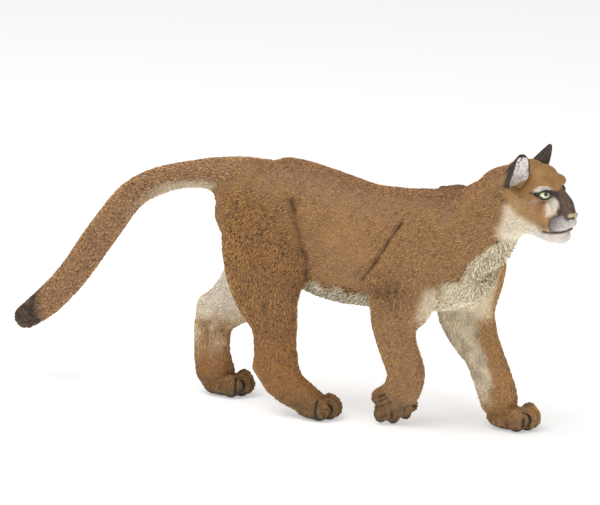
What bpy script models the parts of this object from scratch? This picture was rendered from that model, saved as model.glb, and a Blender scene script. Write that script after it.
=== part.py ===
"""A walking cougar as a small moulded figure, 143 mm from the end of the tail to the nose.

The body is built whole from closed lofts and ellipsoids, blended into one surface and creased, and is
then parted into its named pieces by thin cuts. Ears, eyes and nose are pieces of their own.
+X is forwards, +Y is the animal's left and +Z is up. The origin is on the floor, under the middle.
"""

import math

import bmesh
import bpy
import numpy as np
from mathutils import Matrix, Vector

# Driving dimensions, in metres
FIGURE_LENGTH = 0.143
SEAM = 0.0003

# The tables below are in design millimetres, which are real ones in a figure of this length
DESIGN_LENGTH = 143.0
MM = FIGURE_LENGTH / DESIGN_LENGTH
GAP = SEAM / MM

BODY_VOXEL = 0.8
DETAIL_VOXEL = 0.5
BODY_SMOOTHING = 14
DETAIL_SMOOTHING = 6
FLESH_TRIANGLES = 7800
RING_SIDES = 26
ROW_STEPS = 5
CAP_RINGS = 4

# The head is turned a little to the animal's right, about a point in the neck
HEAD_YAW = math.radians(-4)
HEAD_PIVOT = Vector((58.0, 0.0, 55.0))

# These stand on the left and have twins on the right
EYE_CENTRE = Vector((65.8, 3.2, 57.0))
EYE_RADIUS = 1.7
EAR_BASE = Vector((60.0, 5.2, 58.2))
EAR_TIP = Vector((62.1, 6.9, 66.2))
EAR_FACING = Vector((0.76, 0.65, 0.0))
EAR_HALF_WIDTH = 2.4
EAR_BEHIND = Vector((-0.97, -0.1, 0.0))
EAR_BACK_DEPTH = 5.8
EAR_BACK_BOW = 0.85
# The ear is widest this share of the way up, and narrows over these shares above and below
EAR_WIDEST = 0.45
EAR_TOP_REACH = 0.55
EAR_FOOT_REACH = 0.52
EAR_FULLNESS = 2.2
EAR_CUP_DEPTH = 1.1
EAR_RIM = 0.7
EAR_TIP_RIM = 0.35
EAR_TOP = 0.985
EAR_STEPS = 8

NOSE_CENTRE = Vector((71.15, 0.0, 52.3))
NOSE_RADII = Vector((1.2, 1.75, 1.1))

# Rows of a loft: x, y and z of the middle, half width across the body, half depth along the third axis
TORSO = (
    (-12.3, 0, 50.6, 3.8, 5.8),
    (-10.4, 0, 48.6, 6.7, 9.0),
    (-7.0, 0, 46.8, 8.6, 11.6),
    (-3.0, 0, 45.6, 9.6, 13.4),
    (2.0, 0, 44.9, 9.6, 14.1),
    (8.0, 0, 43.6, 9.1, 14.3),
    (15.0, 0, 41.7, 9.4, 14.5),
    (22.0, 0, 40.8, 9.9, 13.9),
    (30.0, 0, 40.8, 10.2, 13.7),
    (38.0, 0, 40.9, 10.0, 13.8),
    (44.0, 0, 42.3, 9.2, 12.9),
    (48.6, 0, 43.9, 7.4, 9.6),
    (51.3, 0, 43.7, 4.6, 5.6),
)
NECK = (
    (43.0, 0, 44.0, 8.6, 10.4),
    (47.6, 0, 46.5, 8.2, 8.6),
    (51.5, 0, 50.7, 7.6, 8.2),
    (53.4, 0, 52.4, 7.4, 7.3),
    (55.5, 0, 54.1, 7.1, 7.8),
    (59.7, 0, 56.2, 6.4, 6.8),
)
TAIL = (
    (-4.0, 0.0, 52.6, 4.8, 5.6),
    (-11.0, 0.0, 53.3, 4.3, 4.9),
    (-18.1, 0.1, 53.5, 3.6, 3.8),
    (-24.3, 0.4, 52.7, 3.2, 3.2),
    (-30.5, 0.8, 51.1, 3.2, 3.25),
    (-36.8, 1.1, 48.3, 3.3, 3.4),
    (-41.1, 1.3, 44.9, 3.4, 3.5),
    (-45.5, 1.3, 39.4, 3.5, 3.7),
    (-49.9, 1.2, 33.6, 3.5, 3.75),
    (-54.1, 1.0, 27.7, 3.5, 3.65),
    (-58.5, 0.7, 22.5, 3.45, 3.6),
    (-62.9, 0.3, 18.3, 3.35, 3.5),
    (-67.8, -0.1, 14.6, 2.9, 3.0),
)
RIGHT_THIGH = (
    (-2.5, -4.5, 47.0, 4.5, 9.0),
    (-2.2, -5.6, 41.0, 5.2, 10.4),
    (-1.6, -6.6, 35.5, 5.2, 10.0),
    (-0.9, -7.0, 30.5, 4.7, 9.1),
    (-0.1, -7.0, 26.0, 4.2, 7.6),
    (1.2, -6.9, 21.5, 3.7, 5.8),
    (1.2, -6.6, 17.0, 3.4, 5.3),
    (1.5, -6.2, 12.8, 3.3, 5.6),
    (2.9, -5.9, 9.6, 3.2, 4.6),
)
RIGHT_HIND_FOOT = (
    (-2.6, -6.1, 11.4, 2.5, 2.4),
    (0.7, -5.8, 9.5, 3.2, 4.3),
    (3.7, -5.3, 7.0, 3.3, 4.4),
    (7.3, -4.6, 4.8, 3.6, 3.8),
    (10.3, -4.2, 3.4, 3.9, 2.8),
)
LEFT_THIGH = (
    (-3.0, 4.5, 46.0, 4.6, 9.0),
    (-4.5, 5.8, 40.0, 5.0, 9.8),
    (-6.5, 6.4, 34.6, 4.8, 9.7),
    (-9.6, 6.2, 30.0, 4.4, 8.6),
    (-12.7, 5.9, 26.1, 3.9, 6.6),
    (-15.8, 5.6, 22.5, 3.6, 6.0),
    (-19.4, 5.3, 20.0, 3.2, 5.1),
)
LEFT_HIND_FOOT = (
    (-22.2, 5.2, 21.4, 2.6, 2.8),
    (-20.8, 5.1, 17.8, 3.2, 4.7),
    (-21.0, 5.3, 13.0, 3.2, 4.6),
    (-21.1, 5.6, 9.0, 3.3, 4.7),
    (-20.4, 5.9, 5.2, 3.8, 5.0),
)
RIGHT_FORELEG = (
    (37.0, -5.4, 47.0, 3.4, 6.6),
    (35.6, -6.6, 41.0, 4.0, 8.0),
    (33.9, -7.3, 35.0, 4.3, 8.5),
    (32.6, -7.6, 29.5, 4.2, 7.9),
    (31.3, -7.4, 25.0, 3.8, 5.7),
    (31.5, -6.6, 21.0, 3.5, 4.9),
    (32.2, -5.4, 17.0, 3.4, 4.8),
    (32.7, -4.0, 13.8, 3.4, 4.7),
    (32.0, -2.7, 10.6, 3.4, 4.6),
    (30.2, -1.5, 7.4, 3.5, 4.4),
)
LEFT_FORELEG = (
    (43.0, 5.0, 47.0, 3.4, 6.6),
    (44.4, 6.2, 41.0, 4.0, 7.8),
    (44.4, 6.8, 36.0, 4.2, 7.8),
    (43.4, 6.6, 31.0, 4.2, 7.4),
    (43.0, 5.8, 26.4, 4.0, 7.2),
    (45.0, 5.9, 20.8, 3.7, 6.0),
    (47.2, 6.1, 17.0, 3.5, 4.9),
    (48.6, 6.5, 13.2, 3.4, 4.8),
    (49.9, 6.9, 9.5, 3.5, 4.8),
    (50.8, 7.1, 6.0, 3.8, 4.7),
)
NOSE_BRIDGE = (
    (63.6, 0, 58.4, 3.4, 3.1),
    (66.5, 0, 56.4, 2.7, 2.6),
    (69.1, 0, 54.0, 2.2, 2.5),
    (70.1, 0, 52.7, 1.9, 1.9),
)
LEFT_JAW = (
    (58.8, 4.0, 51.4, 2.6, 3.0),
    (62.6, 3.2, 50.2, 2.4, 2.4),
    (67.2, 1.7, 47.6, 1.8, 1.8),
)

# Ellipsoids: the middle, the radii, and how far they lean about Y, in degrees
SHOULDERS = (
    ((40.8, 4.9, 49.4), (6.0, 3.2, 6.6), -20),
    ((37.0, -5.4, 46.8), (6.6, 3.4, 7.0), 15),
)
SKULL = (
    ((60.0, 0, 57.0), (6.6, 6.5, 6.8), 0),
    ((63.2, 0, 57.9), (4.2, 5.2, 5.2), 20),
    ((64.0, 0, 50.6), (5.4, 3.6, 3.0), 8),
    ((68.6, 0, 47.2), (2.2, 2.3, 1.7), -10),
)
LEFT_FACE = (
    ((65.6, 2.8, 59.3), (2.3, 2.1, 1.4), 15),
    ((68.5, 1.8, 50.3), (2.9, 2.3, 2.5), 0),
    ((66.0, 2.4, 53.0), (3.2, 2.6, 3.0), 25),
    ((61.6, 4.2, 53.2), (4.4, 3.4, 4.6), 0),
)

# Paws that stand flat: the heel, the front of the middle toes, half the width, height over the toes
FLAT_PAWS = (
    ((7.4, -4.1), (13.8, -3.8), 4.2, 5.4),
    ((-21.4, 6.1), (-13.5, 6.2), 4.2, 5.8),
    ((50.3, 7.3), (58.0, 7.2), 4.4, 5.7),
)
TOE_SPREAD = (-0.74, -0.27, 0.27, 0.74)
TOE_REACH = (-1.5, 0.15, 0.25, -1.2)
TOE_HALF_LENGTH = 2.5
PAW_SINK = 0.15

# The right forepaw hangs from a bent wrist, with its toes just clear of the floor
BENT_PAW = (
    ((28.8, -0.6, 5.8), (4.5, 3.8, 4.1), 35),
    ((25.6, -0.5, 5.9), (2.8, 3.2, 2.3), 0),
    ((26.2, -2.7, 3.1), (1.9, 1.5, 2.9), 10),
    ((28.5, -1.6, 2.6), (1.9, 1.5, 2.6), 0),
    ((30.4, 0.4, 3.3), (1.8, 1.4, 2.5), -10),
    ((31.5, 1.9, 4.5), (1.6, 1.3, 2.1), -20),
)

# Soft creases: a line on the surface, with half the width and the depth they share
MOUTH = ((71.4, 1.2, 48.1), (69.6, 3.0, 47.8), (67.4, 3.7, 47.9), (65.4, 4.1, 48.2))
PHILTRUM = ((72.4, 0, 51.2), (71.6, 0, 49.8), (71.2, 0, 48.2))
CREASE_HALF_WIDTH = 0.5
CREASE_DEPTH = 0.7

# Cuts that part the body, from its ends inwards: the node, a point on the cut, the way out of the body,
# and how far the cut reaches to each side of that point across it and in Y
CUTS = (
    ("foot_hind_right", (5.0, -5.8, 12.8), (0, 0, -1), 12, 6.6),
    ("foot_hind_left", (-19.0, 5.5, 18.4), (0, 0, -1), 9, 6),
    ("shank_hind_right", (0.0, -8.0, 24.0), (0, 0, -1), 10, 7.5),
    ("shank_hind_left", (-17.0, 7.0, 27.2), (-0.5, 0, -0.87), 11, 6.5),
    ("thigh_right", (-2.5, -6.5, 33.3), (0.05, -0.5, -0.86), 10.8, 9.2),
    ("thigh_left", (-8.0, 6.5, 33.8), (-0.1, 0.5, -0.86), 12.5, 9.2),
    ("forepaw_right", (29.5, -1.8, 10.4), (0, 0, -1), 9, 6.4),
    ("forepaw_left", (52.5, 6.4, 8.6), (0, 0, -1), 11, 6.4),
    ("forearm_right", (31.0, -7.0, 22.6), (0, 0, -1), 8.5, 7.5),
    ("forearm_left", (46.0, 6.5, 22.6), (0, 0, -1), 11, 6),
    ("upper_arm_right", (32.4, -6.5, 30.2), (0, -0.5, -0.86), 8.6, 9.2),
    ("upper_arm_left", (44.3, 6.0, 31.0), (0, 0.5, -0.86), 8.8, 9.2),
    ("tail_tip", (-65.3, 0.0, 17.1), (-0.76, 0, -0.65), 8, 8),
    ("tail_lower", (-51.5, 1.0, 31.6), (-0.6, 0, -0.8), 10, 8),
    ("tail_middle", (-36.0, 1.0, 49.0), (-0.88, 0, -0.47), 16, 8),
    ("tail_base", (-16.5, 0.0, 53.5), (-1, 0, 0), 12, 8),
    ("head", (57.0, 0.0, 54.5), (0.964, 0, 0.264), 16, 16),
    ("neck", (48.0, 0.0, 48.0), (0.96, 0, 0.28), 20, 16),
    ("torso_front", (26.5, 0.0, 42.0), (1, 0, 0), 30, 16),
    ("torso_middle", (8.5, 0.0, 42.0), (1, 0, 0), 30, 16),
)
LAST_PIECE = "torso_rear"
CUT_REACH = 50.0

TAN = (0.42, 0.21, 0.085)
BROWN = (0.20, 0.105, 0.045)
BLACK = (0.02, 0.018, 0.016)
EYE_GREEN = (0.55, 0.62, 0.25)
NOSE_PINK = (0.5, 0.34, 0.24)
COLOURS = {
    "tail_tip": BLACK,
    "ear_left": BLACK,
    "ear_right": BLACK,
    "eye_left": EYE_GREEN,
    "eye_right": EYE_GREEN,
    "nose": NOSE_PINK,
    "foot_hind_left": BROWN,
    "foot_hind_right": BROWN,
    "forepaw_left": BROWN,
    "forepaw_right": BROWN,
}
GLOSSY = ("eye_left", "eye_right", "nose")


def smoothed_rows(rows):
    """The rows with others between them, on a curve through all of them."""
    rows = np.array(rows, float)
    ends = np.vstack([2 * rows[0] - rows[1], rows, 2 * rows[-1] - rows[-2]])
    found = []
    for before, here, there, after in zip(ends, ends[1:], ends[2:], ends[3:]):
        for step in range(ROW_STEPS):
            t = step / ROW_STEPS
            line = 2 * here + (there - before) * t
            square = (2 * before - 5 * here + 4 * there - after) * t**2
            cube = (3 * here - before - 3 * there + after) * t**3
            found.append(0.5 * (line + square + cube))
    return np.array(found + [rows[-1]])


def frames_along(centres):
    """For each centre: the way along the path, the way across the body, and the third axis."""
    along = np.gradient(centres, axis=0)
    along /= np.linalg.norm(along, axis=1)[:, None]
    across = np.array([0.0, 1.0, 0.0]) - along[:, 1:2] * along
    across /= np.linalg.norm(across, axis=1)[:, None]
    return along, across, np.cross(along, across)


def ring_shares(count):
    """For each ring of a loft: its row, its share of the row's size, and its step past the row's end."""
    bends = [(k + 0.5) / (CAP_RINGS + 0.5) * math.pi / 2 for k in range(CAP_RINGS)]
    first = [(0, math.cos(bend), -math.sin(bend)) for bend in bends[::-1]]
    last = [(count - 1, math.cos(bend), math.sin(bend)) for bend in bends]
    return first + [(i, 1.0, 0.0) for i in range(count)] + last


def add_loft(builder, rows):
    """A closed tube with round ends through the rows."""
    rows = smoothed_rows(rows)
    along, across, third = frames_along(rows[:, :3])
    turns = np.linspace(0, 2 * math.pi, RING_SIDES, endpoint=False)
    rings = []
    for i, share, step in ring_shares(len(rows)):
        centre = rows[i, :3] + along[i] * step * rows[i, 3:5].min()
        side = np.outer(np.cos(turns) * rows[i, 3] * share, across[i])
        rise = np.outer(np.sin(turns) * rows[i, 4] * share, third[i])
        rings.append([builder.verts.new(point) for point in centre + side + rise])
    faces = [builder.faces.new(rings[0]), builder.faces.new(rings[-1][::-1])]
    for low, high in zip(rings, rings[1:]):
        faces += bridged(builder, low, high)
    bmesh.ops.recalc_face_normals(builder, faces=faces)


def bridged(builder, low, high):
    """The faces between two closed rows of the same number of points."""
    count = len(low)
    pairs = [(k, (k + 1) % count) for k in range(count)]
    return [builder.faces.new((low[a], high[a], high[b], low[b])) for a, b in pairs]


def add_ellipsoid(builder, middle, radii, lean=0.0, turn=0.0):
    """An ellipsoid, leaned about Y and then turned about Z, in degrees."""
    lean_matrix = Matrix.Rotation(math.radians(lean), 4, "Y")
    turn_matrix = Matrix.Rotation(math.radians(turn), 4, "Z")
    place = Matrix.Translation(middle) @ turn_matrix @ lean_matrix @ Matrix.Diagonal((*radii, 1))
    bmesh.ops.create_icosphere(builder, subdivisions=3, radius=1, matrix=place)


def on_side(point, side):
    """A point given for the left, on the left where side is 1 and on the right where it is -1."""
    return Vector((point[0], point[1] * side, point[2]))


def object_from(name, builder):
    mesh = bpy.data.meshes.new(name)
    builder.to_mesh(mesh)
    builder.free()
    made = bpy.data.objects.new(name, mesh)
    bpy.context.scene.collection.objects.link(made)
    return made


def applied(made, kind, **settings):
    """Adds one modifier to an object and applies it."""
    modifier = made.modifiers.new(kind.title(), kind)
    for key, value in settings.items():
        setattr(modifier, key, value)
    graph = bpy.context.evaluated_depsgraph_get()
    mesh = bpy.data.meshes.new_from_object(made.evaluated_get(graph))
    made.modifiers.clear()
    made.data = mesh
    return made


def blended(made, voxel, smoothing):
    """One closed surface from masses that overlap, with the folds between them softened."""
    applied(made, "REMESH", mode="VOXEL", voxel_size=voxel, adaptivity=0)
    return applied(made, "SMOOTH", factor=0.5, iterations=smoothing)


def body_masses():
    """The trunk, tail and legs, which are softened more than the head and paws."""
    builder = bmesh.new()
    for rows in (TORSO, NECK, TAIL, RIGHT_THIGH, LEFT_THIGH, RIGHT_FORELEG, LEFT_FORELEG):
        add_loft(builder, rows)
    add_loft(builder, RIGHT_HIND_FOOT)
    add_loft(builder, LEFT_HIND_FOOT)
    for mass in SHOULDERS:
        add_ellipsoid(builder, *mass)
    return object_from("body", builder)


def head_turn():
    turn = Matrix.Rotation(HEAD_YAW, 4, "Z")
    return Matrix.Translation(HEAD_PIVOT) @ turn @ Matrix.Translation(-HEAD_PIVOT)


def add_head(builder):
    """The skull, face and jaws."""
    first = len(builder.verts)
    for mass in SKULL:
        add_ellipsoid(builder, *mass)
    add_loft(builder, NOSE_BRIDGE)
    for side in (1, -1):
        for middle, radii, lean in LEFT_FACE:
            add_ellipsoid(builder, on_side(middle, side), radii, lean)
        add_loft(builder, [(*on_side(row[:3], side), *row[3:]) for row in LEFT_JAW])
    builder.verts.ensure_lookup_table()
    bmesh.ops.transform(builder, matrix=head_turn(), verts=builder.verts[first:])


def add_flat_paw(builder, heel, front, half_width, height):
    """The pad and four toes of a paw that stands flat."""
    heel = Vector((*heel, 0))
    front = Vector((*front, 0))
    ahead = (front - heel).normalized()
    across = Vector((-ahead.y, ahead.x, 0))
    turn = math.degrees(math.atan2(ahead.y, ahead.x))
    length = (front - heel).length
    half_height = height / 2
    middle = heel + ahead * length * 0.42 + Vector((0, 0, half_height * 0.85 - PAW_SINK))
    add_ellipsoid(builder, middle, (length * 0.72, half_width, half_height * 0.95), 0, turn)
    for spread, reach in zip(TOE_SPREAD, TOE_REACH):
        toe = front + across * spread * half_width + ahead * reach
        toe.z = half_height - PAW_SINK
        size = (TOE_HALF_LENGTH, half_width * 0.33, half_height)
        add_ellipsoid(builder, toe, size, 8, turn - spread * 10)


def distance_to_line(points, line):
    """The distance from each point to a line of several stretches."""
    best = np.full(len(points), np.inf)
    for start, end in zip(line, line[1:]):
        start = np.array(start)
        way = np.array(end) - start
        t = np.clip((points - start) @ way / (way @ way), 0, 1)
        best = np.minimum(best, np.linalg.norm(points - start - t[:, None] * way, axis=1))
    return best


def press_crease(made, line):
    """Presses a soft groove along a line of the head into the surface."""
    line = [head_turn() @ point for point in line]
    mesh = made.data
    points = np.empty(len(mesh.vertices) * 3)
    mesh.vertices.foreach_get("co", points)
    points = points.reshape(-1, 3)
    normals = np.empty(len(mesh.vertices) * 3)
    mesh.vertex_normals.foreach_get("vector", normals)
    share = np.exp(-((distance_to_line(points, line) / CREASE_HALF_WIDTH) ** 2))
    points -= normals.reshape(-1, 3) * share[:, None] * CREASE_DEPTH
    mesh.vertices.foreach_set("co", points.ravel())
    mesh.update()


def whole_body():
    """The figure in one surface, in design millimetres, without ears, eyes and nose."""
    trunk = blended(body_masses(), BODY_VOXEL, BODY_SMOOTHING)
    builder = bmesh.new()
    builder.from_mesh(trunk.data)
    bpy.data.objects.remove(trunk)
    add_head(builder)
    for paw in FLAT_PAWS:
        add_flat_paw(builder, *paw)
    for mass in BENT_PAW:
        add_ellipsoid(builder, *mass)
    body = blended(object_from("body", builder), DETAIL_VOXEL, DETAIL_SMOOTHING)
    for side in (1, -1):
        press_crease(body, [on_side(point, side) for point in MOUTH])
    press_crease(body, [Vector(point) for point in PHILTRUM])
    return applied(body, "DECIMATE", ratio=FLESH_TRIANGLES / (2 * len(body.data.polygons)))


def ear(side):
    """A cupped ear, open to the side and forwards."""
    base = head_turn() @ on_side(EAR_BASE, side)
    rise = head_turn() @ on_side(EAR_TIP, side) - base
    facing = head_turn().to_3x3() @ on_side(EAR_FACING, side)
    facing = (facing - rise * facing.dot(rise) / rise.length_squared).normalized()
    behind = head_turn().to_3x3() @ on_side(EAR_BEHIND, side)
    across = rise.cross(facing).normalized()
    builder = bmesh.new()
    back = []
    front = []
    for v in np.linspace(0, EAR_TOP, EAR_STEPS + 1):
        reach = (v - EAR_WIDEST) / (EAR_TOP_REACH if v > EAR_WIDEST else EAR_FOOT_REACH)
        width = EAR_HALF_WIDTH * math.sqrt(1 - abs(reach) ** EAR_FULLNESS)
        rim_height = EAR_RIM - (EAR_RIM - EAR_TIP_RIM) * v * v
        back_depth = EAR_BACK_DEPTH * (1 - v) ** EAR_BACK_BOW
        back_row = []
        front_row = []
        for u in np.linspace(-1, 1, EAR_STEPS):
            point = base + rise * v + across * u * width
            arch = 1 - u * u
            back_row.append(builder.verts.new(point + behind * arch * back_depth))
            front_row.append(builder.verts.new(point + facing * (rim_height - arch * EAR_CUP_DEPTH * (1 - v))))
        back.append(back_row)
        front.append(front_row)
    faces = sheet(builder, back) + sheet(builder, front) + bridged(builder, rim(back), rim(front))
    bmesh.ops.recalc_face_normals(builder, faces=faces)
    return object_from("ear_left" if side == 1 else "ear_right", builder)


def sheet(builder, rows):
    faces = []
    for low, high in zip(rows, rows[1:]):
        for k in range(len(low) - 1):
            faces.append(builder.faces.new((low[k], low[k + 1], high[k + 1], high[k])))
    return faces


def rim(rows):
    """The points round the edge of a sheet, in order."""
    right = [row[-1] for row in rows[1:-1]]
    left = [row[0] for row in rows[1:-1]]
    return rows[0] + right + rows[-1][::-1] + left[::-1]


def eye(side):
    builder = bmesh.new()
    place = Matrix.Translation(head_turn() @ on_side(EYE_CENTRE, side))
    bmesh.ops.create_uvsphere(builder, u_segments=14, v_segments=8, radius=EYE_RADIUS, matrix=place)
    return object_from("eye_left" if side == 1 else "eye_right", builder)


def nose():
    builder = bmesh.new()
    place = head_turn() @ Matrix.Translation(NOSE_CENTRE) @ Matrix.Diagonal((*NOSE_RADII, 1))
    bmesh.ops.create_uvsphere(builder, u_segments=14, v_segments=8, radius=1, matrix=place)
    return object_from("nose", builder)


def boolean(made, other, operation):
    return applied(made, "BOOLEAN", object=other, operation=operation, solver="EXACT")


def seated(body, piece):
    """Clears a seat in the body for a piece, a thin gap wider than the piece all round."""
    seat = piece.copy()
    seat.data = piece.data.copy()
    bpy.context.scene.collection.objects.link(seat)
    applied(seat, "DISPLACE", strength=GAP, mid_level=0)
    boolean(body, seat, "DIFFERENCE")
    bpy.data.objects.remove(seat)


def cut_box(point, way_out, half_across, half_y, start):
    """A box that begins this far along the way out of the body and goes on outwards."""
    way_out = Vector(way_out).normalized()
    across = Vector((0, 1, 0)).cross(way_out).normalized()
    third = way_out.cross(across)
    turn = Matrix((across, third, way_out)).transposed().to_4x4()
    middle = Vector(point) + way_out * (start + CUT_REACH) / 2
    size = Matrix.Diagonal((2 * half_across, 2 * half_y, CUT_REACH - start, 1))
    builder = bmesh.new()
    bmesh.ops.create_cube(builder, size=1, matrix=Matrix.Translation(middle) @ turn @ size)
    return object_from("cutter", builder)


def floor_box():
    builder = bmesh.new()
    size = Matrix.Diagonal((4 * CUT_REACH, 2 * CUT_REACH, CUT_REACH, 1))
    bmesh.ops.create_cube(builder, size=1, matrix=Matrix.Translation((0, 0, -CUT_REACH / 2)) @ size)
    return object_from("floor", builder)


def keep_largest(made):
    """Drops the crumbs that a cut can leave beside the piece."""
    builder = bmesh.new()
    builder.from_mesh(made.data)
    left = set(builder.verts)
    shells = []
    while left:
        shell = grown_from(left.pop())
        left -= shell
        shells.append(shell)
    crumbs = [vert for shell in sorted(shells, key=len)[:-1] for vert in shell]
    bmesh.ops.delete(builder, geom=crumbs, context="VERTS")
    bmesh.ops.triangulate(builder, faces=builder.faces)
    builder.to_mesh(made.data)
    builder.free()


def grown_from(vert):
    """All the points that join up with one."""
    found = {vert}
    edge = [vert]
    while edge:
        here = edge.pop()
        for link in here.link_edges:
            there = link.other_vert(here)
            if there not in found:
                found.add(there)
                edge.append(there)
    return found


def parted(body):
    """The body's pieces, cut off one after another."""
    pieces = []
    for name, point, way_out, half_across, half_y in CUTS:
        piece = body.copy()
        piece.data = body.data.copy()
        piece.name = name
        bpy.context.scene.collection.objects.link(piece)
        taken = cut_box(point, way_out, half_across, half_y, 0)
        boolean(piece, taken, "INTERSECT")
        lost = cut_box(point, way_out, half_across + GAP, half_y + GAP, -GAP)
        boolean(body, lost, "DIFFERENCE")
        bpy.data.objects.remove(taken)
        bpy.data.objects.remove(lost)
        pieces.append(piece)
    body.name = LAST_PIECE
    return pieces + [body]


def finish(pieces):
    """Sizes the pieces, puts the origin under the middle, and gives each its material."""
    corners = np.array([corner for piece in pieces for corner in mesh_bounds(piece.data)])
    low = corners.min(axis=0)
    high = corners.max(axis=0)
    shift = Matrix.Translation((-(low[0] + high[0]) / 2, -(low[1] + high[1]) / 2, -low[2]))
    for piece in pieces:
        keep_largest(piece)
        piece.data.transform(Matrix.Scale(MM, 4) @ shift)
        material = bpy.data.materials.new(piece.name)
        material.use_nodes = True
        shader = material.node_tree.nodes["Principled BSDF"]
        shader.inputs["Base Color"].default_value = (*COLOURS.get(piece.name, TAN), 1)
        shader.inputs["Roughness"].default_value = 0.25 if piece.name in GLOSSY else 0.7
        piece.data.materials.clear()
        piece.data.materials.append(material)


def mesh_bounds(mesh):
    points = np.array([vert.co for vert in mesh.vertices])
    return points.min(axis=0), points.max(axis=0)


def main():
    for old in list(bpy.data.objects):
        bpy.data.objects.remove(old)
    body = whole_body()
    floor = floor_box()
    boolean(body, floor, "DIFFERENCE")
    bpy.data.objects.remove(floor)
    fittings = [ear(1), ear(-1), eye(1), eye(-1), nose()]
    for piece in fittings:
        seated(body, piece)
    finish(fittings + parted(body))


main()
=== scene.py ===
"""Dresses a small moulded figure of a walking cougar, 143 mm long.

The painted skin is sculpted from the same masses as the solids and lies a coat's depth inside them.
Strokes of moulded fur, ears, eyes, a nose pad and claws stand on it. The tables are in design
millimetres, with +X forwards, +Y to the animal's left and +Z up, before the figure is centred.
"""

import math
from types import SimpleNamespace

import bmesh
import bpy
import numpy as np
from mathutils import Matrix, Vector


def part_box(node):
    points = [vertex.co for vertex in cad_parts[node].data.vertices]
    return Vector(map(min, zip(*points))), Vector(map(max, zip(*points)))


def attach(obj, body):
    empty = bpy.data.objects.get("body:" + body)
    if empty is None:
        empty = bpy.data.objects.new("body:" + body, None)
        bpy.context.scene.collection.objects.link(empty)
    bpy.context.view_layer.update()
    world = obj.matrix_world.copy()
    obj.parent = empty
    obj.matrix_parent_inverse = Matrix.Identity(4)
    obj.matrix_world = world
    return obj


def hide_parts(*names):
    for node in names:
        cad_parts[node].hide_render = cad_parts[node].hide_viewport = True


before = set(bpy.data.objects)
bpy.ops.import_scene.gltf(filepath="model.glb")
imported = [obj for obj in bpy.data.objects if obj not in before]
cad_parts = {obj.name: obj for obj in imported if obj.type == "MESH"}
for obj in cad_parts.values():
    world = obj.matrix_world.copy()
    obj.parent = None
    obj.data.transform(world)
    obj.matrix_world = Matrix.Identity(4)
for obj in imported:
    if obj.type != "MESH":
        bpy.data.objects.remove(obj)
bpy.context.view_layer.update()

bl_info = {
    "name": "Moulded cougar figure",
    "version": (1, 0, 0),
    "blender": (4, 5, 0),
    "location": "View3D > Sidebar > Figure",
    "description": "Sculpts and paints a small moulded figure of a walking cougar",
    "category": "Object",
}

MM = 0.001
FLESH = [
    "head", "neck", "torso_front", "torso_middle", "torso_rear",
    "tail_base", "tail_middle", "tail_lower", "tail_tip",
    "thigh_right", "shank_hind_right", "foot_hind_right",
    "thigh_left", "shank_hind_left", "foot_hind_left",
    "upper_arm_right", "forearm_right", "forepaw_right",
    "upper_arm_left", "forearm_left", "forepaw_left",
]

HEAD_YAW = math.radians(-4)
HEAD_PIVOT = Vector((58.0, 0.0, 55.0))
EYE_CENTRE = Vector((65.8, 3.2, 57.0))

# An ear's foot and tip, the ways that its cup and its back face, and its sizes
EAR_BASE = Vector((60.0, 5.2, 58.2))
EAR_TIP = Vector((62.1, 6.9, 66.2))
EAR_FACING = Vector((0.76, 0.65, 0.0))
EAR_BEHIND = Vector((-0.97, -0.1, 0.0))
EAR_HALF_WIDTH = 2.0
EAR_BACK_DEPTH = 5.8
EAR_BACK_BOW = 0.85
EAR_WIDEST = 0.45
EAR_TOP_REACH = 0.55
EAR_FOOT_REACH = 0.52
EAR_FULLNESS = 2.2
EAR_CUP_DEPTH = 1.5
EAR_RIM = 0.7
EAR_TIP_RIM = 0.35
EAR_SWAY = 1.6
EAR_FOOT_BACK = 0.55
# The share of the way up at which an ear's edges close
EAR_TOP = 0.985

NOSE_CENTRE = Vector((71.15, 0.0, 52.15))
NOSE_RADII = Vector((1.2, 1.7, 0.95))
# A nostril's reach, and its depth against the nose pad's
NOSTRIL_REACH = 0.2
NOSTRIL_DEPTH = 0.32

# The painted eye: the way that it looks, its radii, and how far its middle is past the ball's
EYE_OUT = Vector((0.42, 0.90, 0.06)).normalized()
LENS_RADII = (2.1, 1.32, 1.25)
LENS_MIDDLE = 0.35
# The edges of the lids' opening, towards the nose and up, and the size that they are used at
UPPER_LID = ((-2.1, -0.05), (-1.2, 0.12), (-0.6, 0.50), (0.0, 0.68), (0.8, 0.74), (1.25, 0.58),
             (1.65, 0.22))
LOWER_LID = ((-2.1, -0.05), (-1.2, -0.26), (-0.6, -0.58), (0.0, -0.72), (0.7, -0.66), (1.2, -0.30),
             (1.65, 0.22))
LID_SIZE = 0.86
# How the lids are pressed: how far round the eye, the band that snaps to their edge, how far they rise
# past the lens and swell, and how far the skin lies behind the lens
EYE_REACH = 4.0
LID_SNAP = 0.13
LID_RISE = 0.1
LID_SWELL = 0.12
LENS_SEAT = 0.7

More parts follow.
